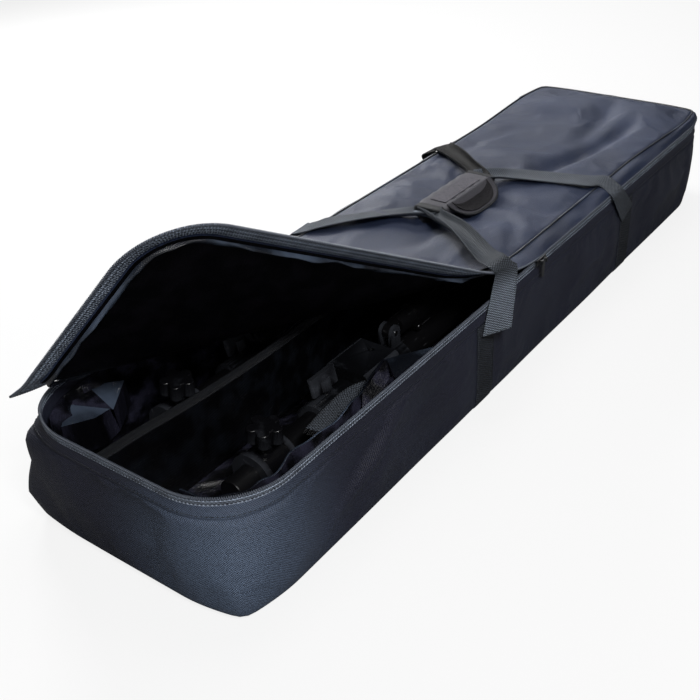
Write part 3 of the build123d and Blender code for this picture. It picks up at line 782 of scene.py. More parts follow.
lid_creases = (
    (0.016, (0.2, -0.04), (0.46, -0.078), 0.018),
    (0.008, (0.36, -0.035), (0.53, -0.02), 0.018),
    (0.007, (0.2, 0.125), (0.34, 0.085), 0.018),
    (0.005, (-0.17, 0.07), (-0.05, -0.03), 0.02),
    (0.004, (-0.06, -0.13), (0.03, -0.1), 0.012),
)
strap_centre_x = sum(strap_places) / 2
rim_half_spacing = 0.168
rim_places = [strap_centre_x + hand * rim_half_spacing for hand in (-1, 1)]
grip_low, grip_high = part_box("grip_wrap")
grip_y = (grip_low.y + grip_high.y) / 2
lid_inset = 0.0235
far_narrowing = 0.012
far_stretch = (0.3, 0.55)
lid_ring = Ring(shell_step)
lid_edge = lid_inset - far_narrowing * eased(lid_ring.centres[:, 0], *far_stretch)


def curled(points):
    """Where points of the closed flat lid go when its near corner is curled up."""
    points = np.asarray(points, float)
    from_root = points - curl_root
    on = from_root @ curl_onward
    height = from_root[..., 2]
    lean = np.clip(on, 0, curl_arc) / curl_radius
    past = np.maximum(on - curl_arc, 0)
    out = (curl_radius - height) * np.sin(lean) + past * np.cos(lean) + np.minimum(on, 0)
    up = curl_radius * (1 - np.cos(lean)) + past * np.sin(lean) + height * np.cos(lean)
    side = from_root @ curl_along
    return curl_root + out[..., None] * curl_onward + side[..., None] * curl_along + up[..., None] * upward


def rides_lid(made):
    """Bakes the piece's placing into its points; the curl was given to its points before."""
    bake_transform(made)


def valley(x, y, start, finish, spread):
    """A long soft dent between two places on the lid, from 0 to 1."""
    run = np.array(finish) - np.array(start)
    length = np.linalg.norm(run)
    part = ((x - start[0]) * run[0] + (y - start[1]) * run[1]) / length
    aside = ((y - start[1]) * run[0] - (x - start[0]) * run[1]) / length
    ends = eased(part, -0.05, 0.05) * (1 - eased(part, length - 0.05, length + 0.05))
    return hump(aside, 0, spread) * ends


def lid_dents(x, y):
    """The long creases where the lid has sunk between the straps and the far end."""
    return sum(depth * valley(x, y, *course) for depth, *course in lid_creases)


def lid_upper(x, y, depth):
    """The lid's padded top: round at its edge, crowned, dented, and pressed where the straps cross."""
    inside = depth - np.broadcast_to(lid_edge, np.shape(depth))
    edge = eased(inside, -0.005, 0.06)
    rounding = lid_round * np.sqrt(1 - (1 - np.clip(inside / lid_round_width, 0, 1)) ** 2)
    dents = lid_dents(x, y)
    folds = lid_fold * ripple(x, y, 0.2, 14) + lid_ripple * ripple(x, y, 0.07, 15)
    pressed = strap_press * sum(hump(x, place, 0.04) for place in rim_places) * hump(np.abs(y), 0.12, 0.04)
    pressed = pressed + grip_press * hump(x, strap_centre_x, 0.075) * hump(y, grip_y, 0.035)
    return lid_top - lid_round + rounding + edge * (crown_height + folds - dents - pressed)


def lid_under(x, y, depth):
    """The lid's lining, hanging a little from its sewn edge and following the dents above it."""
    edge = eased(depth - lid_edge, 0, 0.05)
    return lid_low - edge * (under_sag + under_fold * ripple(x, y, 0.16, 17) + lid_dents(x, y))


lid_rows = 30
upper_rings = lid_ring.inward(lid_edge, lid_rows, lid_upper, lid_shape)
under_rings = lid_ring.inward(lid_edge, lid_rows, lid_under, lid_shape)
rim_rings = [lid_ring.at(lid_edge, height, lid_shape) for height in (lid_low, lid_mid)]
lid_held = np.zeros(upper_rings.shape[:2])
lid_held[:2] = 1
for place in rim_places:
    crossed = np.abs(upper_rings[..., 0] - place) < strap_width * 0.8
    lid_held[crossed & (np.abs(upper_rings[..., 1]) > half_width - 0.07)] = 1
lid_held[hump(upper_rings[..., 0], strap_centre_x, 0.07) * hump(upper_rings[..., 1], grip_y, 0.03) > 0.5] = 1
lid_moves = slack(upper_rings, lid_held, lid_growth, lid_stiffness)
upper_rings[..., 2] += eased_to(lid_moves[..., 2] - lid_lift, lid_slack) + eased_to(lid_lift, lid_slack)
cover_rings = np.concatenate([rim_rings, upper_rings])
cover_plan = np.concatenate([cover_rings, cover_rings[:, :1]], axis=1)[..., :2]
under_plan = np.concatenate([under_rings, under_rings[:, :1]], axis=1)[..., :2]
cover_strip = strip(curled(cover_rings), around=True, lay=cover_plan)
lid = piece("lid_cover", [cover_strip], nylon, lid_weld)
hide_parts("lid_panel", "lid_flap", "lid_bend")
rides_lid(lid)
under_cloth = coated_nylon("lid_lining", tone(2, 2, 4), tone(8, 7, 12), 0.55, 0.08)
under_strip = strip(curled(under_rings), around=True, lay=under_plan)
lid_back = piece("lid_lining_cloth", [under_strip], under_cloth, lid_weld)
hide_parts("lid_lining", "flap_lining")
rides_lid(lid_back)

# Lining hem: a narrow satin fold round the lid's underside, gathered where it was sewn, so its edge waves.
# Its pale colour is painted shine where it turns, which is what shows the lid's inner edge.
hem_inset = 0.004
hem_width = (0.002, 0.0085)
hem_roll = (0.0005, 0.006)
hem_drop = 0.0006


def gathered(limits, seed):
    """Values round the lid that swing between two limits every few centimetres, creased at each turn."""
    dice = np.random.default_rng(seed)
    count = len(lid_ring.centres)
    spaced = np.arange(0, count - 4, 4)
    turns = np.append(spaced + dice.integers(0, 3, len(spaced)), count)
    swings = dice.uniform(*limits, len(turns))
    swings[-1] = swings[0]
    return np.interp(np.arange(count), turns, swings)


hem_rows = []
for part in np.linspace(0, 1, 8):
    inset = lid_edge + hem_inset + gathered(hem_width, 31) * part
    drop = hem_drop + gathered(hem_roll, 32) * math.sin(math.pi * part ** 0.7)
    hem_rows.append(lid_ring.at(inset, lid_low - drop, lid_shape))
hem = piece("lid_lining_hem", [strip(curled(np.array(hem_rows)), around=True)], painted_shine_lining)
rides_lid(hem)

# Gusset: the sloping band round the lid that carries its half of the zip, nylon outside, ribbed tape inside.
# Along the back it has no zip and is sewn straight down to the wall as the lid's hinge.
zip_inset = 0.002
gusset_belly = 0.0022
tape_thickness = 0.0012
tape_rib = 0.0005
hinge_near_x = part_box("lid_hinge_strip")[0].x
hinge_far_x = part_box("lid_hinge_strip")[1].x


def along_hinge(x, y):
    """1 along the sewn back, 0 round the zip, easing over a short stretch."""
    inside = np.minimum(x - hinge_near_x, hinge_far_x - x) / 0.01
    return np.clip(inside, 0, 1) * (y > half_width - corner_radius / 2)


zip_edge_shape = (0.95, 0, rim_shape[2])
here = lid_ring.at(zip_inset, 0)
gusset_low = chain_top + (wall_top - chain_top) * along_hinge(here[:, 0], here[:, 1])
around = here[:, 0] + here[:, 1]
outer_rows, inner_rows = [], []
for part in np.linspace(0, 1, 22):
    inset = zip_inset + (lid_edge + 0.0008 - zip_inset) * part
    height = gusset_low + (lid_top - 0.0012 - gusset_low) * part
    belly = gusset_belly * math.sin(math.pi * part) * (1 + 0.8 * ripple(around, part * 0.03, 0.12, 41))
    shape = [edge + (inner - edge) * part for edge, inner in zip(zip_edge_shape, lid_shape)]
    outer_rows.append(lid_ring.at(inset - belly * 0.4, height + belly * 0.9, shape))
    rib = tape_rib * math.sin(math.tau * 4 * part)
    inner_rows.append(lid_ring.at(inset + tape_thickness + rib * 0.4, height - 0.0008 - rib, shape))
gusset = piece("lid_gusset", [strip(curled(np.array(outer_rows)), around=True)], nylon)
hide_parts("lid_hinge_strip")
rides_lid(gusset)
zip_tape = ribbed_tape("zip_tape", tone(58, 64, 77), tone(200, 214, 236), 0.003, 0.5)
tape_edge = [outer_rows[0], *inner_rows, outer_rows[-1]]
corded_tape = ribbed_tape("corded_tape", tone(62, 69, 82), tone(206, 222, 246), 0.003, 0.5, 0.0075)
lid_tape = piece("lid_tape", [strip(curled(np.array(tape_edge)), around=True)], corded_tape)
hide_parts("lid_zip_tape", "flap_zip_tape", "bend_zip_tape")
rides_lid(lid_tape)

# Piping: a thin cord covered in a bias strip of nylon, sewn into the seam between the lid and its gusset.
# Its pale patches are painted highlights where the cord catches the light.
piping_radius = 0.0013
piping_sides = 10


def piping_cloth(name):
    material, shade, shader = surface(name, 0.45)
    across, along, spot = cloth_place(shade)
    bias = (across + along).wave(0.0016)
    # Here wear marks pale patches that are painted highlights where the cord catches the light.
    wear = cloudy(shade, spot, 0.12, 4.0).over(0.5, 0.72)
    bright = (bias * 0.15 + wear * 0.85 + 0.05).clamped()
    feed(shader, "Base Color", bright.between(tone(18, 19, 26), tone(110, 120, 138)))
    feed(shader, "Roughness", 0.36 + wear * 0.2)
    bumped(shade, shader, bias, 0.0004, 0.7)
    return material


piping_rows = []
for turn in np.linspace(0, math.tau, piping_sides, endpoint=False):
    inset = lid_edge + piping_radius * math.cos(turn)
    height = lid_top - 0.0004 + piping_radius * math.sin(turn)
    piping_rows.append(lid_ring.at(inset, height, lid_shape))
piping_strip = strip(curled(np.array(piping_rows)), around=True, along=True)
piping = piece("lid_piping_cord", [piping_strip], piping_cloth("piping"))
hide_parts("lid_piping", "flap_piping", "bend_piping")
rides_lid(piping)

# Wall zip tape: the other half of the zip, a ribbed tape standing on the wall's top edge.
# Its outer face is ribbed where the coil is sewn on.
tape_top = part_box("wall_zip_tape")[1].z
tape_low = wall_top - 0.002
tape_half = 0.0008
tape_middle = zip_inset + tape_half
tape_rows = []
for part in np.linspace(0, 1, 9):
    rib = tape_rib * math.sin(math.tau * 2 * part)
    height = tape_low + (tape_top - tape_low) * part
    tape_rows.append(lid_ring.at(tape_middle - tape_half - rib + 0.001 * (1 - part), height, rim_shape))
for part in np.linspace(1, 0, 4):
    height = tape_low + (tape_top - tape_low) * part
    tape_rows.append(lid_ring.at(tape_middle + tape_half, height, rim_shape))
zipped = along_hinge(here[:, 0], here[:, 1]) < 0.5
first_zipped = np.flatnonzero(zipped & ~np.roll(zipped, 1))[0]
zip_run = (first_zipped + np.arange(zipped.sum())) % len(zipped)
tape_grid = np.array(tape_rows)[:, zip_run].transpose(1, 0, 2)
wall_tape = piece("wall_tape", [strip(tape_grid, around=True, capped=True)], zip_tape)
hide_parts("wall_zip_tape")
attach(wall_tape, "bag")

# Zip rows: moulded nylon coils, one on each tape, apart round the mouth and meshed beyond the slider.
# Each turn shows as a small tooth, so every tooth is its own little block along the tape's edge.
tooth_pitch = 0.0022
tooth_width = 0.0013
tooth_depth = 0.0030
row_height = 0.0024
row_play = 0.0002
row_inset = 0.00125
chain_start_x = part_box("closed_zip_teeth")[0].x
tooth_ring = Ring(tooth_pitch)


def teeth(low, high, stagger, shape, keep):
    """Small rounded blocks round the outline between two heights, where keep(x, y) is true."""
    strips = []
    outer = tooth_ring.at(row_inset, (low + high) / 2, shape)
    for index in np.flatnonzero(keep(outer[:, 0], outer[:, 1])):
        facing = np.append(tooth_ring.facings[index], 0)
        ahead = np.array([-facing[1], facing[0], 0])
        spot = outer[index] + ahead * stagger * tooth_pitch
        rows = []
        for depth, swell in ((0, 0.7), (0.25, 1), (0.75, 1), (1, 0.7)):
            centre = spot - facing * tooth_depth * depth
            wide = ahead * tooth_width / 2 * swell
            tall = upward * (high - low) / 2 * swell
            low_corners = [centre - wide - tall, centre + wide - tall]
            rows.append([*low_corners, centre + wide + tall, centre - wide + tall])
        strips.append(strip(rows, around=True, capped=True))
    return strips


def coil_nylon(name):
    material, shade, shader = surface(name, 0.32, 0.55)
    spot = shade.node("UVMap", {"uv_map": "cloth"})
    rub = cloudy(shade, spot, 0.004, 2.0)
    feed(shader, "Base Color", rub.between(tone(34, 37, 45), tone(120, 128, 142)))
    feed(shader, "Roughness", 0.24 + rub * 0.2)
    return material


def past_slider(x, y):
    return (x > chain_start_x) & (along_hinge(x, y) < 0.5)


def before_slider(x, y):
    return (x <= chain_start_x) & (along_hinge(x, y) < 0.5)


coil = coil_nylon("zip_coil")
lid_row_low = tape_top + row_height + row_play
open_teeth = teeth(tape_top - row_play, tape_top + row_height, 0, rim_shape, before_slider)
open_row = piece("wall_coil", open_teeth, coil)
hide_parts("wall_zip_teeth")
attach(open_row, "bag")
meshed = teeth(tape_top - row_play, lid_row_low + 0.0008, 0, rim_shape, past_slider)
meshed += teeth(tape_top + 0.0018, chain_top + row_play, 0.5, rim_shape, past_slider)
closed_row = piece("closed_coil", meshed, coil)
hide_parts("closed_zip_teeth")
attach(closed_row, "bag")
lid_teeth = teeth(lid_row_low, chain_top + row_play, 0, zip_edge_shape, before_slider)
lid_row = piece("lid_coil", [(curled(grid), *rest) for grid, *rest in lid_teeth], coil)
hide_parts("flap_zip_teeth", "bend_zip_teeth")
rides_lid(lid_row)

# Zip slider and pull: die-cast zinc, enamelled black, rubbed bright along its edges.
# The slider rides the rows and the pull hangs from its loop.


def rubbed_enamel(name, enamel, metal):
    material, shade, shader = surface(name, 0.3, 0.5)
    spot = shade.node("TexCoord", {}, {}, "Object")
    rub = cloudy(shade, spot, 0.002, 4.0)
    edge = shade.node("NewGeometry", {}, {}, "Pointiness")
    bare = (edge.over(0.56, 0.66) + rub.over(0.66, 0.78) * 0.5).clamped()
    feed(shader, "Base Color", bare.between(enamel, metal))
    feed(shader, "Metallic", bare)
    feed(shader, "Roughness", 0.28 + rub * 0.2)
    return material


zip_enamel = rubbed_enamel("zip_metal", tone(12, 12, 14), tone(92, 94, 98))
dress("zip_slider", zip_enamel)
dress("zip_pull", zip_enamel)

# Girth straps: heavy woven webbing sewn down both sides of the bag and passing under its base.
# They lie on the padding, pulled in to it, and end under the handle straps.
girth_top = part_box("girth_strap_near")[1].z
web_rib = 0.0028


def heavy_webbing(name, dark, light, faded=None):
    """Webbing ribbed across the strap, fluffed by wear, and darkened past a length from its end: painted
    shade.
    """
    material, shade, shader = surface(name, 0.6, 0.2)
    across, along, spot = cloth_place(shade)
    column = across.wave(0.0056).over(-0.3, 0.3)
    ribs = (along + column * (web_rib / 2)).wave(web_rib)
    fray = cloudy(shade, spot, 0.0025, 3.0)
    wear = cloudy(shade, spot, 0.05, 3.0)
    bright = ribs * 0.34 + fray * 0.5 + wear * 0.6 - 0.1
    # faded is how far from its end the strap stays light; past it the colour is darkened as painted shade.
    if faded:
        bright = bright * (along.over(faded + 0.03, faded) * 0.75 + 0.25)
    feed(shader, "Base Color", bright.clamped().between(dark, light))
    feed(shader, "Roughness", 0.5 + fray * 0.2)
    bumped(shade, shader, ribs + fray * 0.5, 0.0008, 1.0)
    shader.inputs["Sheen Weight"].default_value = 0.03
    return material


def smooth_line(spots, step):
    """Points a step apart on the smooth line through the spots, with whatever else the spots carry."""
    spots = np.asarray(spots, float)
    padded = np.concatenate([[2 * spots[0] - spots[1]], spots, [2 * spots[-1] - spots[-2]]])
    line = []
    for before, here, there, after in zip(padded, padded[1:], padded[2:], padded[3:]):
        for part in np.linspace(0, 1, 24, endpoint=False):
            bend = 2 * here + (there - before) * part
            bend = bend + (2 * before - 5 * here + 4 * there - after) * part ** 2
            line.append((bend + (3 * here - before - 3 * there + after) * part ** 3) / 2)
    line.append(spots[-1])
    line = np.array(line)
    reach = np.concatenate([[0], np.cumsum(np.linalg.norm(np.diff(line[:, :3], axis=0), axis=1))])
    stops = np.linspace(0, reach[-1], max(int(reach[-1] / step), 2))
    return np.column_stack([np.interp(stops, reach, line[:, axis]) for axis in range(line.shape[1])])


strap_section = [(-1, 0), (-0.98, -0.9), (-0.75, -1), (-0.5, -1), (-0.25, -1), (0, -1)]
strap_section += [(0.25, -1), (0.5, -1), (0.75, -1), (0.98, -0.9)]
strap_section += [(-across, -rise) for across, rise in strap_section]


def webbing(spots, sides, cups, width, facing):
    """A strap swept along smooth spots, its width along the given sides and cupped by the given angles."""
    line = smooth_line(np.column_stack([spots, sides, cups]), 0.004)
    middle = line[:, :3]
    side = line[:, 3:6] / np.linalg.norm(line[:, 3:6], axis=1)[:, None]
    cup = np.maximum(line[:, 6], 0.01)
    face = np.cross(np.gradient(middle, axis=0), side) * facing
    face = face / np.linalg.norm(face, axis=1)[:, None]
    columns = []
    for across, rise in strap_section:
        angle = across * cup / 2
        radius = width / cup + rise * strap_thickness / 2
        drop = radius * np.cos(angle) - width / cup
        columns.append(middle + side * (radius * np.sin(angle))[:, None] + face * drop[:, None])
    return np.array(columns).transpose(1, 0, 2), middle, side, face


def stitched_box(centre, side, up, width, height):
    """The sewn square with a cross that holds a strap's end, as stitch rows on the strap's face."""
    centre, side, up = (np.array(part, float) for part in (centre, side, up))
    outward = np.cross(side, up)
    turns = ((-1, -1), (1, -1), (1, 1), (-1, 1))
    corner = [centre + side * width / 2 * a + up * height / 2 * b for a, b in turns]
    rows = []
    for start, finish in ((0, 1), (1, 2), (2, 3), (3, 0), (0, 2), (1, 3)):
        line = np.linspace(corner[start], corner[finish], 12)
        rows += thread_run(line, outward, stitch_length, stitch_gap, stitch_radius * 1.2)
    return rows


def wall_out(x, way, z):
    """The padded side wall's surface at that height, on the front (-1) or back (1)."""
    return way * (half_width + float(wall_bulge(np.array(x), np.array(way * half_width), np.array(z))))


web_black = heavy_webbing("side_webbing", tone(20, 22, 27), tone(70, 76, 86))
for place, end in zip(strap_places, ("near", "far")):
    side_levels = np.linspace(girth_top, 0.012, 9)
    lie = strap_thickness / 2 + 0.0003
    spots = [(place, wall_out(place, -1, z) - lie, z) for z in side_levels]
    spots += [(place, -half_width + 0.003, 0.0024), (place, -half_width + 0.014, 0.0013)]
    spots += [(place, y, 0.0013) for y in (-0.06, 0, 0.06)]
    spots += [(place, -y, z) for _, y, z in reversed(spots[9:11])]
    spots += [(place, wall_out(place, 1, z) + lie, z) for z in reversed(side_levels)]
    grid = webbing(spots, [(1, 0, 0)] * len(spots), [0] * len(spots), strap_width, 1)[0]
    girth = piece("girth_webbing_" + end, [strip(grid, around=True, capped=True)], web_black)
    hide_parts("girth_strap_" + end)
    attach(girth, "bag")

# Handle straps: four runs of the same webbing, sewn to the girth straps and leaning in over the lid's edge.
# They slant together in pairs and lie slack, two of them folded lengthwise into the grip. The near front one
# has swung round at its lower end, so one edge stands out from the wall.
core_low, core_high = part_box("handle_core")
grip_mid = (core_low.z + core_high.z) / 2
core_half = (core_high.x - core_low.x) / 2
leg_low = girth_top - 0.024
leg_rise = 0.003
leg_tilt = math.radians(24)
lid_rest = lid_top + 0.0018
entry_length = 0.006
entry_splay = 0.02
core_overlap = 0.012
strap_stack = 0.0012
landing_pull = 0.018
strap_arch = 0.006
crossing_drop = 0.004
shoulder_in = 0.008
shoulder_rise = 0.0045
edge_in = 0.023
swung_edge_in = 0.011
swung_foot = (0.002, -0.012, 0.014)
swung_sides = ((0.80, -0.56, 0.10), (0.95, -0.3, 0))
box_width = 0.026
box_height = 0.018
front_rim_start = curl_start_x + 2 * half_width / math.tan(curl_slant)
rim_overlap = front_rim_start - strap_centre_x + rim_half_spacing + strap_width / 2
rim_lean = rim_overlap * math.sin(curl_slant) / curl_radius
rim_lift = curl_radius * (1 - math.cos(rim_lean)) + leg_rise
strap_angles = (0, 3, 6, 24, 31, 42, 60)
flat_cups = (0.01, 0.01, 0.1, 0.2, 0.3, 0.6, 1.6, 1.6)
folded_cups = (0.01, 0.01, 0.05, 0.15, 2.2, 3.2, 3.8, 1.6)
strap_roll = (0, 0, 0, 0.1, 0.22, 0.2, 0)
web_grey = heavy_webbing("handle_webbing", tone(34, 37, 42), tone(122, 130, 142))
web_dark = heavy_webbing("dark_webbing", tone(6, 6, 7), tone(26, 26, 27))
web_painted_shade = heavy_webbing("painted_shade_webbing", tone(24, 26, 30), tone(170, 182, 198), 0.05)
box_seams = []
for name, way in (("front", -1), ("back", 1)):
    for end, hand, place, rim_x in zip(("near", "far"), (-1, 1), strap_places, rim_places):
        swung = (name, end) == ("front", "near")
        lift = rim_lift if swung else 0
        edge = lid_rest + lift * 0.75
        core_end = np.array([strap_centre_x + hand * core_half, grip_y, grip_mid - way * strap_stack])
        finish = core_end - np.array([hand * core_overlap, 0, 0])
        entry = core_end + np.array([hand * entry_length, way * entry_splay, 0])
        landing_z = lid_rest + leg_rise + lift * 0.3
        landing = np.array([rim_x - hand * landing_pull, way * (half_width - strap_width), landing_z])
        middle = (landing + entry) / 2
        middle[2] = landing_z + strap_arch
        out = strap_thickness * 1.5 + 0.0006
        foot = np.array([place, wall_out(place, way, leg_low) + way * out, leg_low])
        crossing = np.array([rim_x, way * (half_width + out), chain_top - crossing_drop + lift * 0.75])
        shoulder = np.array([rim_x, way * (half_width - shoulder_in), chain_top + shoulder_rise])
        over_edge = np.array([rim_x, way * (half_width - edge_in), edge])
        if swung:
            over_edge = np.array([rim_x, way * (half_width - swung_edge_in), edge])
            shoulder = (crossing + over_edge) / 2 + np.array([0, way * 0.003, 0.002])
        spots = [foot, crossing, shoulder, over_edge, landing, middle, entry, finish]
        sides = [(math.cos(leg_tilt), 0, hand * math.sin(leg_tilt))]
        for angle, roll in zip(strap_angles, strap_roll):
            turn = math.radians(angle)
            sides.append((math.cos(turn), -hand * way * math.sin(turn), hand * roll if way > 0 else 0))
        if swung:
            spots[0] = foot + np.array(swung_foot)
            sides[:2] = swung_sides
        else:
            sewn_middle = foot + np.array([-hand * 0.008, way * strap_thickness / 2, 0.012])
            box_seams += stitched_box(sewn_middle, (-way, 0, 0), (0, 0, 1), box_width, box_height)
        folds = way == hand
        grid = webbing(spots, sides, folded_cups if folds else flat_cups, strap_width, -way)[0]
        strap_cloth = web_dark if folds else web_grey
        # The swung strap is darkened past its lower end: painted shade, not fading.
        if swung:
            strap_cloth = web_painted_shade
        strap_strip = strip(grid, around=True, capped=True)
        strap = piece("handle_webbing_" + name + "_" + end, [strap_strip], strap_cloth)
        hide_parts("handle_strap_" + name + "_" + end)
        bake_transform(strap)
grey_thread = sewing_thread("grey_thread", tone(96, 100, 108))
strap_seams = piece("strap_stitches", box_seams, grey_thread)
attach(strap_seams, "bag")

# Grip: the joined straps run through a padded nylon sleeve with bound ends.
# The sleeve is closed by a flap with hook and loop strips, peeled open on the front side.
sleeve_half = (grip_high.x - grip_low.x) / 2
sleeve_half_width = (grip_high.y - grip_low.y) / 2
sleeve_half_height = 0.009
sleeve_wall = 0.004


def sleeve_ring(x, shrink):
    """One cross-section of the padded sleeve: a rounded oblong, fuller between its bound ends."""
    fullness = 1 - 0.10 * hump(abs(x), sleeve_half, 0.012)
    ring = []
    for angle in np.linspace(0, math.tau, 36, endpoint=False):
        across = np.sign(math.cos(angle)) * abs(math.cos(angle)) ** 0.35
        rise = np.sign(math.sin(angle)) * abs(math.sin(angle)) ** 0.4
        dent = 0.0006 * math.sin(x * 260 + 3 * angle)
        half_y = (sleeve_half_width - shrink) * fullness
        half_z = (sleeve_half_height - shrink) * fullness + dent
        ring.append((strap_centre_x + x, grip_y + half_y * across, grip_mid + half_z * rise))
    return ring


dress("handle_core", web_grey)
stations = np.linspace(-sleeve_half, sleeve_half, 40)
sleeve_rows = [sleeve_ring(x, 0) for x in stations]
sleeve_rows += [sleeve_ring(x, sleeve_wall) for x in stations[::-1]]
grip_cloth = woven_nylon("grip_nylon", tone(26, 25, 29), tone(92, 90, 98), 0.0008, 0.65)
sleeve = piece("grip_sleeve", [strip(sleeve_rows, around=True, along=True)], grip_cloth)
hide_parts("grip_wrap")
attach(sleeve, "handle")
end_tape_width = 0.009
end_tape_inside = sleeve_wall + 0.0007
tape_course = ((-end_tape_width, -0.0006), (0.0005, -0.0009))
tape_course += ((0.0014, sleeve_wall / 2), (0.0004, end_tape_inside))
end_tapes = []
for hand in (-1, 1):
    rows = [sleeve_ring(hand * (sleeve_half + beyond), shrink) for beyond, shrink in tape_course]
    rows.append(sleeve_ring(hand * (sleeve_half - end_tape_width), end_tape_inside))
    end_tapes.append(strip(rows, around=True, along=True))
sleeve_ends = piece("grip_end_tape", end_tapes, tape_cloth)
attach(sleeve_ends, "handle")

# Sleeve tongue: the sleeve's under layer runs on past its near end and curls down in a dark round lip.
# It is of the same tape as the end bindings, and is sewn in with the near one.
tongue_half = 0.013
tongue_length = 0.02
tongue_thickness = 0.0018
tongue_rows = []
for part in np.linspace(0, 1, 9):
    half = tongue_half * math.sqrt(max(1 - part ** 3, 0.02))
    x = strap_centre_x - sleeve_half + 0.006 - tongue_length * part
    z = grip_mid - sleeve_half_height + 0.0025 + 0.004 * math.sin(math.pi * part)
    tongue_rows.append([(x, grip_y + half * side, z - 0.002 * side * side) for side in np.linspace(-1, 1, 9)])
tongue_top = np.array(tongue_rows)
tongue_grid = np.concatenate([tongue_top, tongue_top[:, ::-1] - tongue_thickness * upward], axis=1)
tongue = piece("grip_tongue", [strip(tongue_grid, around=True, capped=True)], tape_cloth)
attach(tongue, "handle")

# Grip flap: the sleeve's loose side, a leaf of the same padded nylon edged with tape, hook strip uppermost.
# It droops toward the front and its free edge curls under.


def pile(name, dark, light, tuft):
    """Hook or loop strip: a dense field of tiny tufts."""
    material, shade, shader = surface(name, 0.85, 0.3)
    spot = shade.node("TexCoord", {}, {}, "Object")
    tufts = shade.node("TexVoronoi", {}, {"Vector": spot, "Scale": 1 / tuft})
    matted = cloudy(shade, spot, 0.006, 3.0)
    feed(shader, "Base Color", (0.7 - tufts + matted * 0.5).clamped().between(dark, light))
    bumped(shade, shader, 1 - tufts, 0.0008, 0.9)
    return material


dress("loop_strip", pile("loop_pile", tone(56, 55, 60), tone(112, 110, 118), 0.0012))
flap_joint = next(j for j in frame["record"]["behaviour"]["joints"] if j["name"] == "grip_flap_peel")
flap_axis_y, flap_axis_z = flap_joint["pos_m"][1:]
flap_length = 0.112
flap_width = 0.036
flap_droop = math.radians(35)
flap_layer = 0.0008
flap_edge_half = 0.0562
flap_edge_layer = 0.0012
hook_half = 0.046


def flap_sheet(low, high, half, lift):
    """A layer of the flap between two distances from its fold: rows along it, columns across."""
    rows = []
    for part in np.linspace(-1, 1, 41):
        leaf = 0.12 + 0.88 * max(1 - abs(part) ** 3.2, 0) ** 0.6
        row = []
        for out in np.linspace(low, high, 11):
            share = out / flap_width
            bow = (0.0015 * share - 0.003 * hump(share, 0.5, 0.25)) * leaf
            reach = out * leaf
            y = flap_axis_y - reach * math.cos(flap_droop) + (bow + lift) * -math.sin(flap_droop)
            z = flap_axis_z - reach * math.sin(flap_droop) + (bow + lift) * math.cos(flap_droop)
            row.append((strap_centre_x + part * half, y, z))
        rows.append(row)
    return np.array(rows)


def layered(low, high, half, bottom, top):
    """A closed layer of the flap between two heights above its middle."""
    upper = flap_sheet(low, high, half, top)
    under = flap_sheet(low, high, half, bottom)
    return strip(np.concatenate([upper, under[:, ::-1]], axis=1), around=True, capped=True)


leaf = layered(0, flap_width, flap_length / 2, -flap_layer, flap_layer)
flap = piece("grip_flap_cloth", [leaf], grip_cloth)
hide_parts("grip_flap")
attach(flap, "grip_flap")
edge_reach = (flap_width - 0.003, flap_width + 0.0005)
edge_layers = layered(*edge_reach, flap_edge_half, -flap_edge_layer, flap_edge_layer)
flap_edge = piece("grip_flap_tape", [edge_layers], tape_cloth)
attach(flap_edge, "grip_flap")
hook_pile = pile("hook_pile", tone(16, 15, 17), tone(46, 44, 48), 0.0016)
hooks = piece("flap_hook_strip", [layered(0.012, 0.031, hook_half, 0.0006, 0.0014)], hook_pile)
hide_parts("hook_strip")
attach(hooks, "grip_flap")

# Inner strap: a loose tail of narrower webbing sewn to the front wall, lying toward the open end.
# Its cut end has frayed into a comb of stiff threads.
inner_width = 0.03
inner_x = -0.298
inner_tail = 0.104
inner_out = 0.056
inner_fall = 0.016
inner_sew_y = -(half_width - 0.0066)
inner_sew_z = wall_top - 0.026
inner_course = (
    (0, 0, 0, 0),
    (0.06, 0.45, 0, 20),
    (0.3, 0.93, 0.4, 62),
    (0.65, 1, 0.75, 88),
    (1, 0.96, 1, 96),
)
fray_count = 14
fray_length = 0.007
fray_radius = 0.0007
spots, sides = [], []
for back, out, fall, angle in inner_course:
    across = inner_sew_y + inner_out * out
    spots.append((inner_x - inner_tail * back, across, inner_sew_z - inner_fall * fall))
    sides.append((math.cos(math.radians(angle)), math.sin(math.radians(angle)), 0))
grid, line, side, face = webbing(spots, sides, [0] * len(spots), inner_width, 1)
inner = piece("inner_webbing", [strip(grid, around=True, capped=True)], web_grey)
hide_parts("inner_strap")
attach(inner, "bag")
tail_ahead = (line[-1] - line[-2]) / np.linalg.norm(line[-1] - line[-2])
angles = np.linspace(0, math.tau, 5, endpoint=False)
turned = np.cos(angles)[:, None] * side[-1] + np.sin(angles)[:, None] * face[-1]
comb = []
for index in range(fray_count):
    root = line[-1] + side[-1] * inner_width * ((index + 0.5) / fray_count - 0.5) - tail_ahead * 0.001
    droop = -upward * (0.0012 + 0.0008 * (index % 3))
    path = np.array([root, root + tail_ahead * fray_length / 2, root + tail_ahead * fray_length + droop])
    comb.append(strip(path[:, None] + fray_radius * turned, around=True, capped=True))
fray = piece("inner_webbing_fray", comb, sewing_thread("fray_thread", tone(30, 31, 35)))
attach(fray, "bag")

# Folded stands: enamelled steel tube, moulded black nylon hubs and knobs, plated pins and rubber feet.
# They are used ones, so the enamel is scuffed; the mouldings are paler along their sharp edges and in dusty
# patches.


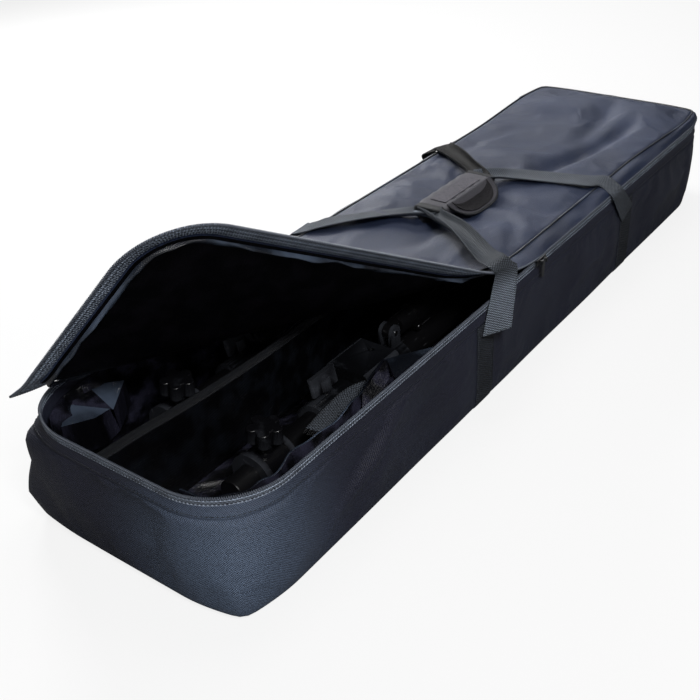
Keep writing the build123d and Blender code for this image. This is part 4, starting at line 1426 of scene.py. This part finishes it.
def moulded_nylon(name, colour, gloss):
    material, shade, shader = surface(name, gloss, 0.5)
    spot = shade.node("TexCoord", {}, {}, "Object")
    grain = cloudy(shade, spot, 0.0012, 2.0)
    dust = cloudy(shade, spot, 0.02, 4.0)
    edge = shade.node("NewGeometry", {}, {}, "Pointiness")
    pale = (edge.over(0.53, 0.62) * 0.5 + dust.over(0.55, 0.8) * 0.4).clamped()
    feed(shader, "Base Color", pale.between(colour, tone(70, 73, 80)))
    feed(shader, "Roughness", gloss - 0.06 + dust * 0.2)
    bumped(shade, shader, grain, 0.0002, 0.25)
    return material


def tube_enamel(name, colour):
    material, shade, shader = surface(name, 0.3, 0.5)
    spot = shade.node("TexCoord", {}, {}, "Object")
    stretched = shade.node("Mapping", {}, {"Vector": spot, "Scale": (0.12, 1.0, 1.0)})
    scuff = cloudy(shade, stretched, 0.004, 5.0)
    bare = scuff.over(0.66, 0.74)
    feed(shader, "Base Color", bare.between(colour, tone(120, 122, 126)))
    feed(shader, "Metallic", bare * 0.8)
    feed(shader, "Roughness", 0.22 + scuff * 0.2)
    return material


def plated_steel(name):
    material, shade, shader = surface(name, 0.25, 0.5)
    shader.inputs["Metallic"].default_value = 1.0
    spot = shade.node("TexCoord", {}, {}, "Object")
    tarnish = cloudy(shade, spot, 0.004, 4.0)
    feed(shader, "Base Color", tarnish.between(tone(150, 150, 152), tone(205, 206, 210)))
    feed(shader, "Roughness", 0.16 + tarnish * 0.2)
    return material


def rubber(name):
    material, shade, shader = surface(name, 0.75, 0.35)
    spot = shade.node("TexCoord", {}, {}, "Object")
    bloom = cloudy(shade, spot, 0.008, 4.0)
    feed(shader, "Base Color", bloom.between(tone(16, 16, 17), tone(46, 46, 47)))
    bumped(shade, shader, bloom, 0.0003, 0.5)
    return material


stand_finishes = {
    "mast_tube": tube_enamel("mast_enamel", tone(13, 13, 15)),
    "mast_inner": tube_enamel("inner_mast_enamel", tone(17, 17, 19)),
    "legs": tube_enamel("leg_enamel", tone(12, 12, 14)),
    "struts": tube_enamel("strut_enamel", tone(15, 15, 17)),
    "pins": plated_steel("steel"),
    "feet": rubber("rubber"),
    "lock_collar": moulded_nylon("collar_nylon", tone(13, 13, 16), 0.2),
    "lock_knob": moulded_nylon("knob_nylon", tone(14, 14, 17), 0.2),
    "leg_hub": moulded_nylon("hub_nylon", tone(13, 14, 17), 0.2),
    "hub_knob": moulded_nylon("wing_nylon", tone(14, 14, 17), 0.2),
    "slide_hub": moulded_nylon("spider_nylon", tone(15, 15, 18), 0.3),
}
for stand in ("front", "back"):
    for part, finish in stand_finishes.items():
        dress(stand + "_stand_" + part, finish)

# Floor, light and camera: a plain pale sweep, soft lights overhead, behind and beyond, weaker ones in front.
# The camera stands where the photograph was taken from, a little left of the bag's near end.
white = 1.0
ambient = 0.04
bounce = 0.2
floor_size = 12
floor_drop = 0.0006
floor_grey = 0.8
floor_glow = 0.84


def pale_floor(name):
    material, shade, shader = surface(name, 0.9, 0.0)
    shader.inputs["Base Color"].default_value = (floor_grey, floor_grey, floor_grey, 1)
    tree = material.node_tree
    ray = shade.node("LightPath", {}, {}, "Is Camera Ray")
    glow = shade.node("Emission", {}, {"Color": (1, 1, 1, 1), "Strength": white})
    lit = Shade(tree, shader.outputs[0])
    seen = shade.node("MixShader", {}, {0: floor_glow, 1: lit, 2: glow})
    unseen = shade.node("BsdfDiffuse", {}, {"Color": (bounce, bounce, bounce, 1)})
    mixed = shade.node("MixShader", {}, {0: ray, 1: unseen, 2: seen})
    tree.links.new(mixed.socket, tree.nodes["Material Output"].inputs["Surface"])
    return material


floor_ends = (-floor_size, floor_size)
floor_grid = [[(x, y, -floor_drop) for x in floor_ends] for y in floor_ends]
floor = piece("floor", [strip(floor_grid)], pale_floor("floor"))

world = bpy.data.worlds.new("studio")
bpy.context.scene.world = world
world.use_nodes = True
sky = Shade(world.node_tree)
seen = sky.node("LightPath", {}, {}, "Is Camera Ray")
seen = seen.maths("MAXIMUM", seen, sky.node("LightPath", {}, {}, "Is Transmission Ray"))
backdrop = world.node_tree.nodes["Background"]
backdrop.inputs["Color"].default_value = (1, 1, 1, 1)
world.node_tree.links.new((ambient + seen * (white - ambient)).socket, backdrop.inputs["Strength"])


def softbox(name, place, target, size, power):
    lamp = bpy.data.lights.new(name, "AREA")
    lamp.shape = "SQUARE"
    lamp.size = size
    lamp.energy = power
    made = bpy.data.objects.new(name, lamp)
    made.location = place
    made.rotation_euler = (Vector(place) - Vector(target)).to_track_quat("Z", "Y").to_euler()
    bpy.context.scene.collection.objects.link(made)


softbox("overhead", (0.4, 0.3, 1.9), (0.1, 0, 0.1), 1.0, 14)
softbox("back", (0.6, 1.8, 1.1), (0.15, 0, 0.15), 0.7, 46)
softbox("far", (2.1, 0.95, 1.0), (0.3, 0, 0.15), 1.0, 6)
softbox("front", (-0.9, -1.2, 1.6), (-0.35, 0, 0.1), 0.4, 20)
softbox("low", (-1.5, -0.7, 0.55), (-0.35, 0.1, 0.2), 0.8, 3)

azimuth = math.radians(-52.3349)
elevation = math.radians(32.3755)
roll = math.radians(-2.9972)
camera_place = (-1.03796, -0.63638, 0.71894)
level = math.cos(elevation)
back = np.array([math.sin(azimuth) * level, -math.cos(azimuth) * level, math.sin(elevation)])
right = np.cross(upward, back)
right = right / np.linalg.norm(right)
above = np.cross(back, right)
tilted_right = right * math.cos(roll) + above * math.sin(roll)
tilted_above = above * math.cos(roll) - right * math.sin(roll)
lens = bpy.data.cameras.new("camera")
lens.sensor_width = 36
lens.lens = 50.463
lens.clip_start = 0.01
camera = bpy.data.objects.new("camera", lens)
bpy.context.scene.collection.objects.link(camera)
axes = np.column_stack([tilted_right, tilted_above, back])
camera.matrix_world = Matrix.Translation(camera_place) @ Matrix(axes.tolist()).to_4x4()
bpy.context.scene.camera = camera
bpy.context.scene.view_settings.view_transform = "Standard"
